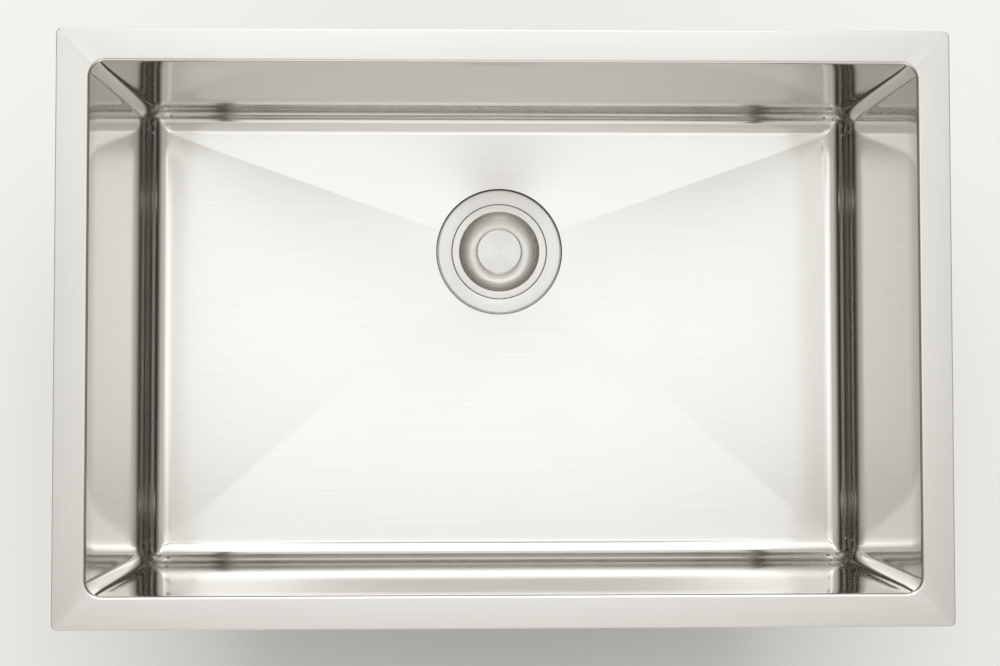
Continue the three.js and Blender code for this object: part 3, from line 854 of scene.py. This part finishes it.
def add_bowl():
    zones = bowl_zones()
    loops = [loop for _, loop in zones]
    count = len(loops[0])
    materials = [flange_steel, wall_steel, bend_steel, floor_steel, coat_steel]

    piece = add_mesh("bowl_sheet", *loop_faces(loops))
    mesh = piece.data
    marks = [materials.index(material) for material, _ in zones for _ in range(count)]
    mesh.polygons.foreach_set("material_index", marks)

    across = mesh.attributes.new("across", "FLOAT", "POINT")
    along = mesh.attributes.new("along", "FLOAT_VECTOR", "POINT")
    middle = CORNER_STEPS + SIDE_STEPS["back"] // 2
    run = 0.0
    for i, loop in enumerate(loops):
        if i:
            run += (Vector(loop[middle]) - Vector(loops[i - 1][middle])).length
        for k in range(count):
            across.data[i * count + k].value = run * MM
            along.data[i * count + k].vector = along_loop(loop, k)

    weld(piece, BOWL_SHARP)
    for material in materials:
        mesh.materials.append(material)
    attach(piece, "sink")
    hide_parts("bowl")


add_bowl()

# ---------------- Pads

PAD_SHARES = (0.02, 0.35, 0.7)  # loops inside a pad's outline
LEAST_CORNER = 0.1


def inset_outline(corners, inset):
    """A convex outline moved in on every side, with round corners."""
    lines = []
    for i, corner in enumerate(corners):
        start, end = Vector(corner), Vector(corners[(i + 1) % len(corners)])
        along = (end - start).normalized()
        lines.append((start + Vector((-along.y, along.x)) * inset, along))
    moved = []
    for i, (start, along) in enumerate(lines):
        before, way = lines[i - 1]
        share = (start - before).cross(along) / way.cross(along)
        moved.append((*(before + way * share), max(LEAST_CORNER, PAD_CORNER - inset)))
    return rounded(moved, PAD_CORNER_STEPS)


def add_pad(name, corners, thickness, place_at):
    """A pad on an outline. place_at(u, v, depth) gives a point, with depth 0 at the glued face."""
    outline = inset_outline(corners, 0)
    middle = tuple(sum(values) / len(outline) for values in zip(*outline))
    layers = []
    for share in (*PAD_SHARES, 1):
        layers.append([place_at(*mixed(middle, point, share), 0) for point in outline])
    for angle in quarter(PAD_EDGE_STEPS):
        edge = inset_outline(corners, PAD_EDGE * (1 - cos(angle)))
        depth = thickness - PAD_EDGE * (1 - sin(angle))
        layers.append([place_at(u, v, depth) for u, v in edge])
    outer = inset_outline(corners, PAD_EDGE)
    for share in reversed(PAD_SHARES):
        layers.append([place_at(*mixed(middle, point, share), thickness) for point in outer])
    points, faces = loop_faces(layers, closed=False)
    count = len(outline)
    faces.append(tuple(range(count)))
    faces.append(tuple(range(len(points) - count, len(points))))
    piece = add_mesh(name + "_rubber", points, faces)
    weld(piece)
    put(piece, "sink", "pad_rubber", name)


def add_wall_pad(name, axis, sign):
    """A pad on the wall that faces along an axis: 0 for X and 1 for Y."""
    low, high = (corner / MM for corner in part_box(name))
    other = 1 - axis
    corners = [(low[other], low.z), (high[other], low.z), (high[other], high.z), (low[other], high.z)]
    near = low[axis] if sign > 0 else high[axis]

    def place_at(u, v, depth):
        point = [0.0, 0.0, v]
        point[axis] = near + sign * depth
        point[other] = u
        return tuple(point)

    add_pad(name, corners, abs(high[axis] - low[axis]), place_at)


add_wall_pad("pad_right_wall", 0, 1)
add_wall_pad("pad_left_wall", 0, -1)
add_wall_pad("pad_back_wall", 1, 1)
add_wall_pad("pad_front_wall", 1, -1)


def add_floor_pad(name, side):
    """A pad under one side of the floor, with a margin to its creases, its edge and the drain."""
    drain = Vector((DRAIN_X, DRAIN_Y))
    ends = [Vector(floor_corner(k)) - drain for k in (side, side + 1)]
    along = (ends[1] - ends[0]).normalized()
    outward = Vector((along.y, -along.x))
    edge_distance = ends[0].dot(outward)
    near, far = SLOPE_TOP + FLOOR_PAD_MARGIN, edge_distance - FLOOR_PAD_MARGIN
    corners = []
    for k, distance in ((0, far), (1, far), (1, near), (0, near)):
        slope = ends[k].dot(along) / edge_distance
        aside = slope * distance + (1 - 2 * k) * FLOOR_PAD_MARGIN * hypot(1, slope)
        corners.append(tuple(drain + outward * distance + along * aside))

    def place_at(u, v, depth):
        return (u, v, floor_height(u, v) - SHEET - GLUE_GAP - depth)

    add_pad(name, corners, FLOOR_PAD, place_at)


for side, name in enumerate(SIDE_STEPS):
    if name != "back":
        add_floor_pad(f"pad_floor_{name}", side)

# ---------------- Strainer body

ON_ROOT = 0.001  # a row this near a thread's root belongs to it
THREADS = [
    (THREAD_ROOT, THREAD_TOP_Z - CUP_THREAD, THREAD_TOP_Z),
    (OUTLET_OUTER, OUTLET_THREAD_TOP_Z - OUTLET_THREAD, OUTLET_THREAD_TOP_Z),
]


def thread_rows(root, low, high):
    count = round((high - low) / THREAD_PITCH * THREAD_ROWS)
    return [(root, low + (high - low) * i / count) for i in range(count + 1)]


def threaded(radius, z, angle):
    """Raises a helical thread on the rows that lie on a thread's root."""
    for root, low, high in THREADS:
        if abs(radius - root) < ON_ROOT and low <= z <= high:
            turn = (z - low) / THREAD_PITCH - angle / (2 * pi)
            faded = min(1, (z - low) / THREAD_PITCH, (high - z) / THREAD_PITCH)
            return radius + THREAD_DEPTH * faded * (1 - cos(2 * pi * turn)) / 2, z
    return radius, z


def add_strainer():
    lip_z = RECESS_Z + LIP_CLEARANCE
    flange_under = STRAINER_TOP - BODY_WALL
    end_z = under("strainer_body")
    cup_thread, outlet_thread = THREADS
    profile = [
        (OUTLET_RADIUS, end_z, TUBE_EDGE),
        (OUTLET_OUTER, end_z, SHEET_EDGE),
        *thread_rows(*outlet_thread),
        (CUP_OUTER, CUP_FLOOR_Z - BODY_WALL, CUP_FOOT_UNDER),
        (CUP_OUTER, cup_thread[1] - 2 * THREAD_RISE),
        *thread_rows(*cup_thread),
        (CUP_OUTER, THREAD_TOP_Z + FACE_GAP / 2),
        (CUP_OUTER, SEAT_Z - BODY_WALL, FACE_GAP / 2),
        (SEAT_OUTER, SEAT_Z - BODY_WALL, SEAT_FOLD_UNDER),
        (SEAT_OUTER, flange_under, SHEET_EDGE),
        (STRAINER_RADIUS - BODY_WALL, flange_under, TUBE_EDGE),
        (STRAINER_RADIUS - BODY_WALL, lip_z, FINE_EDGE),
        (STRAINER_RADIUS, lip_z, FINE_EDGE),
        (STRAINER_RADIUS, STRAINER_TOP, STRAINER_EDGE),
        (SEAT_RADIUS, STRAINER_TOP - FLANGE_DISH, SEAT_EDGE),
        (SEAT_RADIUS, SEAT_Z, SEAT_FOLD),
        (CUP_RADIUS, SEAT_Z, SEAT_FOLD),
        (CUP_RADIUS, CUP_FLOOR_Z, CUP_FOOT),
        (OUTLET_RADIUS, OUTLET_TOP_Z, CUP_FOOT_UNDER),
    ]
    piece = turned("strainer_shell", rounded(profile), warp=threaded)
    put(piece, "sink", "strainer_steel", "strainer_body")


add_strainer()

# ---------------- Seals, nuts and tailpiece


def ring_outline(node, bore, radius, bore_edge, edge):
    """The section of a flat ring as thick as its node."""
    low, high = under(node), top(node)
    corners = [(bore, low, bore_edge), (radius, low, edge), (radius, high, edge), (bore, high, bore_edge)]
    return rounded(corners)


def add_ring(node, bore, slot, edge=SEAL_EDGE, body="sink"):
    """A flat ring with soft corners, as wide and as thick as its node."""
    outline = ring_outline(node, bore, reach(node), edge, edge)
    piece = turned(node + "_ring", outline, sharp=RING_SHARP)
    put(piece, body, slot, node)


add_ring("flange_gasket", DRAIN_HOLE, "seal_rubber")
add_ring("under_gasket", SEAT_OUTER + SEAL_CLEARANCE, "seal_rubber")
add_ring("friction_ring", SEAT_OUTER + SEAL_CLEARANCE, "fibre", FIBRE_EDGE)
add_ring("tailpiece_washer", TAIL_RADIUS - TAIL_WALL, "washer_plastic")


def nut_warp(inner, rise, width, count):
    """Lugs or ribs round a nut's outside, with rounded feet and tops."""

    def warp(radius, z, angle):
        if radius <= inner:
            return radius, z
        turn = (angle * count / (2 * pi) + 0.5) % 1 - 0.5
        aside = abs(turn) * 2 * pi / count * radius
        share = min(1, max(0, (width / 2 + LUG_FILLET / 2 - aside) / LUG_FILLET))
        return radius + rise * (3 * share**2 - 2 * share**3), z

    return warp


def add_locknut():
    radius = reach("locknut") - LOCKNUT_LUG_RISE
    bore = THREAD_ROOT + THREAD_DEPTH + THREAD_CLEARANCE
    outline = ring_outline("locknut", bore, radius, BORE_EDGE, NUT_EDGE)
    warp = nut_warp(bore + LOCKNUT_WALL, LOCKNUT_LUG_RISE, LOCKNUT_LUG_WIDTH, LOCKNUT_LUGS)
    piece = turned("locknut_shell", outline, NUT_SIDES, warp)
    put(piece, "sink", "nut_plastic", "locknut")


def add_coupling_nut():
    low, high = under("coupling_nut"), top("coupling_nut")
    radius = reach("coupling_nut") - COUPLING_RIB_RISE
    slip = TAIL_RADIUS + COUPLING_SLIP
    bore = OUTLET_OUTER + THREAD_DEPTH + THREAD_CLEARANCE
    corners = [
        (slip, low, TUBE_EDGE),
        (radius, low, NUT_EDGE),
        (radius, high, NUT_EDGE),
        (bore, high, BORE_EDGE),
        (bore, low + COUPLING_LIP, SHEET_EDGE),
        (slip, low + COUPLING_LIP, SHEET_EDGE),
    ]
    warp = nut_warp(bore + COUPLING_WALL, COUPLING_RIB_RISE, COUPLING_RIB_WIDTH, COUPLING_RIBS)
    piece = turned("coupling_nut_shell", rounded(corners), NUT_SIDES, warp)
    put(piece, "sink", "nut_plastic", "coupling_nut")


def add_tailpiece():
    low, high = under("tailpiece"), top("tailpiece")
    bore, flange_radius = TAIL_RADIUS - TAIL_WALL, reach("tailpiece")
    corners = [
        (bore, low, SHEET_EDGE),
        (TAIL_RADIUS, low, SHEET_EDGE),
        (TAIL_RADIUS, high - TAIL_FLANGE, SHEET_EDGE),
        (flange_radius, high - TAIL_FLANGE, TAIL_FLANGE_EDGE),
        (flange_radius, high, TAIL_FLANGE_EDGE),
        (bore, high, TAIL_MOUTH),
    ]
    piece = turned("tailpiece_tube", rounded(corners))
    put(piece, "sink", "tube_chrome", "tailpiece")


add_locknut()
add_coupling_nut()
add_tailpiece()

# ---------------- Basket

BASKET_LIP_Z = top("basket")
BASKET_UNDER_Z = under("basket")
BASKET_FLOOR_Z = BASKET_UNDER_Z + BASKET_SHEET
BASKET_LIP_RADIUS = reach("basket")
CELL_WIDTH = 2 * pi / HOLES_IN_ROW * BASKET_OUTER
BASKET_SIDES = CELL_STEPS * HOLES_IN_ROW
ROWS_TOP_Z = BASKET_LIP_Z - SOLID_BAND + HOLE_ROW_PITCH / 2
ROWS_BOTTOM_Z = ROWS_TOP_Z - HOLE_ROWS * HOLE_ROW_PITCH
CELLS_INNER = FLOOR_HOLE_PITCH / 2
CELLS_OUTER = FLOOR_HOLE_PITCH * 1.5


def pierced_cell(edge, centre, place_at):
    """Loops through a cell of sheet with a round hole. place_at(u, v, depth) gives a point."""
    rays = [atan2(v - centre[1], u - centre[0]) for u, v in edge]

    def circle(radius):
        return [(centre[0] + radius * cos(ray), centre[1] + radius * sin(ray)) for ray in rays]

    def bore(depth):
        return [place_at(u, v, depth) for u, v in circle(HOLE_RADIUS)]

    def between(depth, share):
        lip = circle(HOLE_RADIUS + HOLE_EDGE)
        return [place_at(*mixed(start, end, share), depth) for start, end in zip(edge, lip)]

    shares = (0, CELL_MIDDLE, 1)
    loops = [between(0, share) for share in shares]
    loops += [bore(HOLE_EDGE), bore(BASKET_SHEET - HOLE_EDGE)]
    return loops + [between(BASKET_SHEET, share) for share in reversed(shares)]


def box_edge(u0, u1, v0, v1, u_steps, v_steps):
    """The points round a rectangle, in turn."""
    points = [(u0 + (u1 - u0) * k / u_steps, v0) for k in range(u_steps)]
    points += [(u1, v0 + (v1 - v0) * k / v_steps) for k in range(v_steps)]
    points += [(u1 - (u1 - u0) * k / u_steps, v1) for k in range(u_steps)]
    points += [(u0, v1 - (v1 - v0) * k / v_steps) for k in range(v_steps)]
    return points


def wall_cell(row, number):
    top_z = ROWS_TOP_Z - row * HOLE_ROW_PITCH
    low_z = top_z - HOLE_ROW_PITCH
    middle, half = (number + row % 2 / 2) * CELL_WIDTH, CELL_WIDTH / 2
    edge = box_edge(middle - half, middle + half, low_z, top_z, CELL_STEPS, CELL_RISE_STEPS)

    def place_at(u, v, depth):
        return around_drain(BASKET_OUTER - depth, u / BASKET_OUTER, v)

    return pierced_cell(edge, (middle, top_z - HOLE_ROW_PITCH / 2), place_at)


def on_basket_floor(u, v, depth):
    return (u, v, BASKET_UNDER_Z + depth)


def floor_cell(number):
    steps = BASKET_SIDES // FLOOR_HOLES
    start = (number - 0.5) * 2 * pi / FLOOR_HOLES
    polar = box_edge(start, start + 2 * pi / FLOOR_HOLES, CELLS_INNER, CELLS_OUTER, steps, CELL_RISE_STEPS)
    edge = [around_drain(radius, angle, 0)[:2] for angle, radius in polar]
    centre = around_drain(FLOOR_HOLE_PITCH, number * 2 * pi / FLOOR_HOLES, 0)[:2]
    return pierced_cell(edge, centre, on_basket_floor)


def middle_cell():
    edge = [around_drain(CELLS_INNER, 2 * pi * k / BASKET_SIDES, 0)[:2] for k in range(BASKET_SIDES)]
    return pierced_cell(edge, (DRAIN_X, DRAIN_Y), on_basket_floor)


def turned_band(profile):
    return [
        [around_drain(radius, 2 * pi * k / BASKET_SIDES, z) for k in range(BASKET_SIDES)]
        for radius, z in profile
    ]


def basket_rim():
    """From the top row of holes up the outside, over the lip and down the inside."""
    lip_under = BASKET_LIP_Z - BASKET_SHEET
    corners = [
        (BASKET_OUTER, ROWS_TOP_Z),
        (BASKET_OUTER, lip_under, LIP_FOLD_UNDER),
        (BASKET_LIP_RADIUS, lip_under, SHEET_EDGE),
        (BASKET_LIP_RADIUS, BASKET_LIP_Z, SHEET_EDGE),
        (BASKET_INNER, BASKET_LIP_Z, LIP_FOLD),
        (BASKET_INNER, ROWS_TOP_Z),
    ]
    return turned_band(rounded(corners))


def basket_foot(radius, floor_z):
    """One face from the lowest row of holes round the foot to the floor's holes."""
    bend = BASKET_FOOT - (BASKET_OUTER - radius)
    corners = [(radius, ROWS_BOTTOM_Z), (radius, floor_z, bend), (CELLS_OUTER, floor_z)]
    return turned_band(rounded(corners, FOOT_STEPS))


def add_basket():
    cells = [wall_cell(row, number) for row in range(HOLE_ROWS) for number in range(HOLES_IN_ROW)]
    cells += [floor_cell(number) for number in range(FLOOR_HOLES)]
    cells.append(middle_cell())
    bands = [basket_rim()]
    bands.append(basket_foot(BASKET_OUTER, BASKET_UNDER_Z))
    bands.append(basket_foot(BASKET_INNER, BASKET_FLOOR_Z))
    points, faces = [], []
    for loops in cells + bands:
        new_points, new_faces = loop_faces(loops, closed=False)
        faces += [tuple(index + len(points) for index in face) for face in new_faces]
        points += new_points
    piece = add_mesh("basket_shell", points, faces)
    weld(piece)
    put(piece, "basket", "strainer_steel", "basket")


def add_handle():
    """Round wire across the basket, with both ends turned down and rounded off."""
    leg_x = reach("basket_handle") - HANDLE_WIRE
    high_z, foot_z = top("basket_handle") - HANDLE_WIRE, under("basket_handle")
    path = [(-leg_x, foot_z + k * HANDLE_FOOT_STEP) for k in range(3)]
    for k in range(HANDLE_BEND_STEPS + 1):
        share = k / HANDLE_BEND_STEPS
        path.append((-leg_x + HANDLE_BEND * share**2, high_z - HANDLE_BEND * (1 - share) ** 2))
    path += [(-x, z) for x, z in reversed(path)]
    thinned = {0: HANDLE_END, len(path) - 1: HANDLE_END}
    loops = []
    for i, (x, z) in enumerate(path):
        x0, z0 = path[max(0, i - 1)]
        x1, z1 = path[min(len(path) - 1, i + 1)]
        way = Vector((x1 - x0, z1 - z0)).normalized()
        across = Vector((-way.y, way.x))
        wire = HANDLE_WIRE * thinned.get(i, 1)
        loop = []
        for k in range(WIRE_SIDES):
            angle = 2 * pi * k / WIRE_SIDES
            side = across * (wire * cos(angle))
            loop.append((DRAIN_X + x + side.x, DRAIN_Y + wire * sin(angle), z + side.y))
        loops.append(loop)
    points, faces = loop_faces(loops, closed=False)
    faces.append(tuple(range(WIRE_SIDES)))
    faces.append(tuple(range(len(points) - WIRE_SIDES, len(points))))
    piece = add_mesh("handle_wire", points, faces)
    weld(piece)
    put(piece, "basket", "strainer_steel", "basket_handle")


add_basket()
add_handle()

# ---------------- Lid, knob and screw


def dish_side(radius, top_z, width):
    """The dish's side, from its steep rim down to its flat floor."""
    points = []
    for i in range(DISH_STEPS + 1):
        share = i / DISH_STEPS
        points.append((radius - width * share, top_z - DISH_DEPTH * (1 - (1 - share) ** DISH_POWER)))
    return points


def add_lid():
    under_z = LID_TOP_Z - LID_SHEET
    lower = dish_side(DISH_RADIUS + LID_SHEET, under_z, DISH_SIDE + LID_SHEET)[::-1]
    upper = dish_side(DISH_RADIUS, LID_TOP_Z, DISH_SIDE)
    profile = [
        (SCREW_HOLE, DISH_FLOOR_Z - LID_SHEET),
        *lower[:-1],
        (*lower[-1], SHEET_EDGE),
        (LID_RADIUS, under_z, LID_EDGE_UNDER),
        (LID_RADIUS, LID_TOP_Z, LID_EDGE),
        (*upper[0], DISH_FOLD),
        *upper[1:],
        (SCREW_HOLE, DISH_FLOOR_Z),
    ]
    piece = turned("lid_shell", rounded(profile))
    put(piece, "lid", "strainer_steel", "lid")


def add_knob():
    radius, top_z, foot_z = reach("knob"), top("knob"), under("knob")
    head_under = top_z - KNOB_HEAD
    profile = [
        (0, top_z - KNOB_CROWN),
        (SCREW_HOLE, top_z - KNOB_CROWN),
        (SCREW_HOLE, foot_z),
        (KNOB_NECK, foot_z, SHEET_EDGE),
        (KNOB_NECK, head_under, KNOB_FILLET),
        (radius, head_under, KNOB_EDGE),
        (radius, top_z, KNOB_EDGE),
        (0, top_z),
    ]
    piece = turned("knob_shell", rounded(profile, KNOB_STEPS))
    put(piece, "lid", "strainer_steel", "knob")


ON_FACE = 0.01  # a ring this near the screw's face belongs to it


def cross_recess(face_z):
    """Sinks a cross into the screw's head."""

    def warp(radius, z, angle):
        if z - face_z > ON_FACE:
            return radius, z
        x, y = abs(radius * cos(angle)), abs(radius * sin(angle))
        slot = max(min(CROSS_WIDTH - x, CROSS_REACH - y), min(CROSS_WIDTH - y, CROSS_REACH - x))
        share = min(1, max(0, slot / CROSS_SLOPE + 0.5))
        return radius, z + CROSS_DEPTH * share

    return warp


def add_screw():
    face_z = under("knob_screw")
    head_top = face_z + SCREW_HEAD_HEIGHT
    end_z = top("knob_screw")
    face = [(CROSS_RING_PITCH * k, face_z) for k in range(CROSS_RINGS)]
    head = [
        (SCREW_HEAD - 1, face_z),
        (SCREW_HEAD, face_z, SCREW_HEAD_EDGE),
        (SCREW_HEAD, head_top, FINE_EDGE),
    ]
    shank = [
        (SCREW_RADIUS, head_top),
        (SCREW_RADIUS, end_z - SCREW_POINT),
        (SCREW_RADIUS - SCREW_POINT, end_z),
        (0, end_z),
    ]
    piece = turned("screw_shell", face + rounded(head) + shank, SCREW_SIDES, cross_recess(face_z))
    put(piece, "lid", "tube_chrome", "knob_screw")


add_lid()
add_knob()
add_screw()
add_ring("lid_seal", BASKET_INNER + LID_SEAL_CLEARANCE, "seal_rubber", THIN_SEAL_EDGE, "lid")
add_ring("knob_screw_washer", SCREW_HOLE, "seal_rubber", THIN_SEAL_EDGE, "lid")

# ---------------- Stage, light and camera

# Places and lengths here are in metres
GROUND_DROP = 0.004  # below the tailpiece
GROUND_HALF = 60.0
GROUND_DARK = (0.83, 0.83, 0.815)
GROUND_LIGHT = (0.86, 0.86, 0.845)
GROUND_CLOUDS = 3.0  # steps of noise in a metre
GROUND_ROUGHNESS = 0.9
KEY_SIZE = 2.2, 1.6
KEY_PLACE = Vector((0, 1.1, 2.4))
KEY_AIM = Vector((0, 0, -0.2))
KEY_STRENGTH = 3.3  # times pi, in watts on each square metre
CAMERA_PLACE = (-0.03104, -0.04088, 1.10971)
CAMERA_TURN = Vector((0.03275, -0.02367, -0.00051))  # its axis, as long as its angle in radians
SENSOR = 36.0  # millimetres
LENS_SHARE = 1.4569  # the lens's length in sensor widths

# The studio, by the tilt of a direction from straight up; each pair is where a fade starts and ends
PANEL_SIDES = radians(16), radians(26)
PANEL_BACK = radians(48), radians(75)
PANEL_FRONT = radians(-8), radians(0)
LAMP_FRONT = radians(9), radians(24)
APRON_SIDES = radians(4), radians(18)
APRON_FRONT = radians(-70), radians(-40)
GAP_MIDDLE = radians(1.5)  # to the right
GAP_SIDES = radians(6), radians(9.5)
GAP_START = radians(7), radians(10)
GAP_END = radians(13), radians(17)
FLAG_SIDES = radians(35), radians(70)
# and by the direction's own height and reach to the back or front
FLAG_FOOT = 0.08, 0.25
FLAG_ENDS = 0.6, 0.85
ENDS = 0.75, 0.95
ENDS_FOOT = 0.08, 0.2
BASE_LEVEL = 0.64
PANEL_LEVEL = 0.56
LAMP_LEVEL = 0.52
APRON_LEVEL = 0.18
ENDS_LEVEL = 0.6
FLAG_SHARE = 0.03  # of the base level
GAP_SHARE = 0.25  # of the light that would be there
WARM_LEVELS = 0.4, 1.2
DIM_COLOUR = (1.0, 0.955, 0.875)
BRIGHT_COLOUR = (0.985, 1.0, 0.985)


def add_ground():
    material, tree, shader = new_material("stage_ground")
    cloud = noise(tree, place(tree), GROUND_CLOUDS)
    tint = tinted(tree, cloud, GROUND_DARK, GROUND_LIGHT)
    feed(tree, shader, {"Base Color": tint, "Roughness": GROUND_ROUGHNESS})
    z = (cad_box[0][2] - GROUND_DROP) / MM
    half = GROUND_HALF / MM
    points = [(-half, -half, z), (half, -half, z), (half, half, z), (-half, half, z)]
    piece = add_mesh("stage_ground", points, [(0, 1, 2, 3)])
    piece.data.materials.append(material)


def add_key_light():
    """A softbox above and behind, which lights surfaces and isn't mirrored in them."""
    light = bpy.data.lights.new("key", "AREA")
    light.shape = "RECTANGLE"
    light.size, light.size_y = KEY_SIZE
    light.energy = KEY_STRENGTH * pi * light.size * light.size_y
    piece = bpy.data.objects.new("key", light)
    bpy.context.scene.collection.objects.link(piece)
    piece.location = KEY_PLACE
    piece.rotation_euler = (KEY_AIM - KEY_PLACE).to_track_quat("-Z", "Y").to_euler()
    piece.visible_glossy = False


def add_world():
    """A studio all round: a panel overhead, a lamp behind a gap in it, and a dark flag on each side."""
    world = bpy.data.worlds.new("studio")
    bpy.context.scene.world = world
    world.use_nodes = True
    tree = world.node_tree
    way = split(tree, add_node(tree, "ShaderNodeTexCoord").outputs["Generated"])
    tilt_right = maths(tree, "ARCTAN2", way["X"], way["Z"])
    aside = maths(tree, "ABSOLUTE", tilt_right)
    tilt_back = maths(tree, "ARCTAN2", way["Y"], way["Z"])
    level_back = maths(tree, "ABSOLUTE", way["Y"])

    def fade(value, low, high, out_low=0, out_high=1):
        return remap(tree, value, low, high, out_low, out_high, smooth=True)

    def both(first, second):
        return times(tree, first, second)

    behind = fade(tilt_back, *PANEL_BACK, 1, 0)
    middle = both(fade(aside, *PANEL_SIDES, 1, 0), behind)
    panel = both(middle, fade(tilt_back, *PANEL_FRONT))
    apron = both(both(fade(aside, *APRON_SIDES, 1, 0), behind), fade(tilt_back, *APRON_FRONT))
    high_beside = both(fade(aside, *FLAG_SIDES), fade(way["Z"], *FLAG_FOOT))
    flag = both(high_beside, fade(level_back, *FLAG_ENDS, 1, 0))

    light = both(remap(tree, flag, 0, 1, 1, FLAG_SHARE), BASE_LEVEL)
    ends = both(fade(level_back, *ENDS), fade(way["Z"], *ENDS_FOOT))
    lamp = both(middle, fade(tilt_back, *LAMP_FRONT))
    parts = [
        (panel, PANEL_LEVEL),
        (lamp, LAMP_LEVEL),
        (apron, APRON_LEVEL),
        (ends, ENDS_LEVEL),
    ]
    for part, strength in parts:
        light = maths(tree, "ADD", light, both(part, strength))
    gap_aside = maths(tree, "ABSOLUTE", maths(tree, "SUBTRACT", tilt_right, GAP_MIDDLE))
    gap = both(fade(gap_aside, *GAP_SIDES, 1, 0), fade(tilt_back, *GAP_START))
    gap = both(gap, fade(tilt_back, *GAP_END, 1, 0))
    light = both(light, remap(tree, gap, 0, 1, 1, GAP_SHARE))
    warmth = tinted(tree, remap(tree, light, *WARM_LEVELS, 0, 1), DIM_COLOUR, BRIGHT_COLOUR)
    feed(tree, tree.nodes["Background"], {"Strength": light, "Color": warmth})


def add_camera():
    """The photograph's own view, as fitted to the flange, the floor and the drain."""
    data = bpy.data.cameras.new("camera")
    data.sensor_width = SENSOR
    data.lens = SENSOR * LENS_SHARE
    camera = bpy.data.objects.new("camera", data)
    bpy.context.scene.collection.objects.link(camera)
    camera.location = CAMERA_PLACE
    camera.rotation_mode = "QUATERNION"
    camera.rotation_quaternion = Quaternion(CAMERA_TURN.normalized(), CAMERA_TURN.length)
    bpy.context.scene.camera = camera


add_ground()
add_key_light()
add_world()
add_camera()

bpy.context.scene.view_settings.view_transform = "Standard"
bpy.context.scene.cycles.glossy_bounces = 10  # light goes from wall to bend to floor and out again
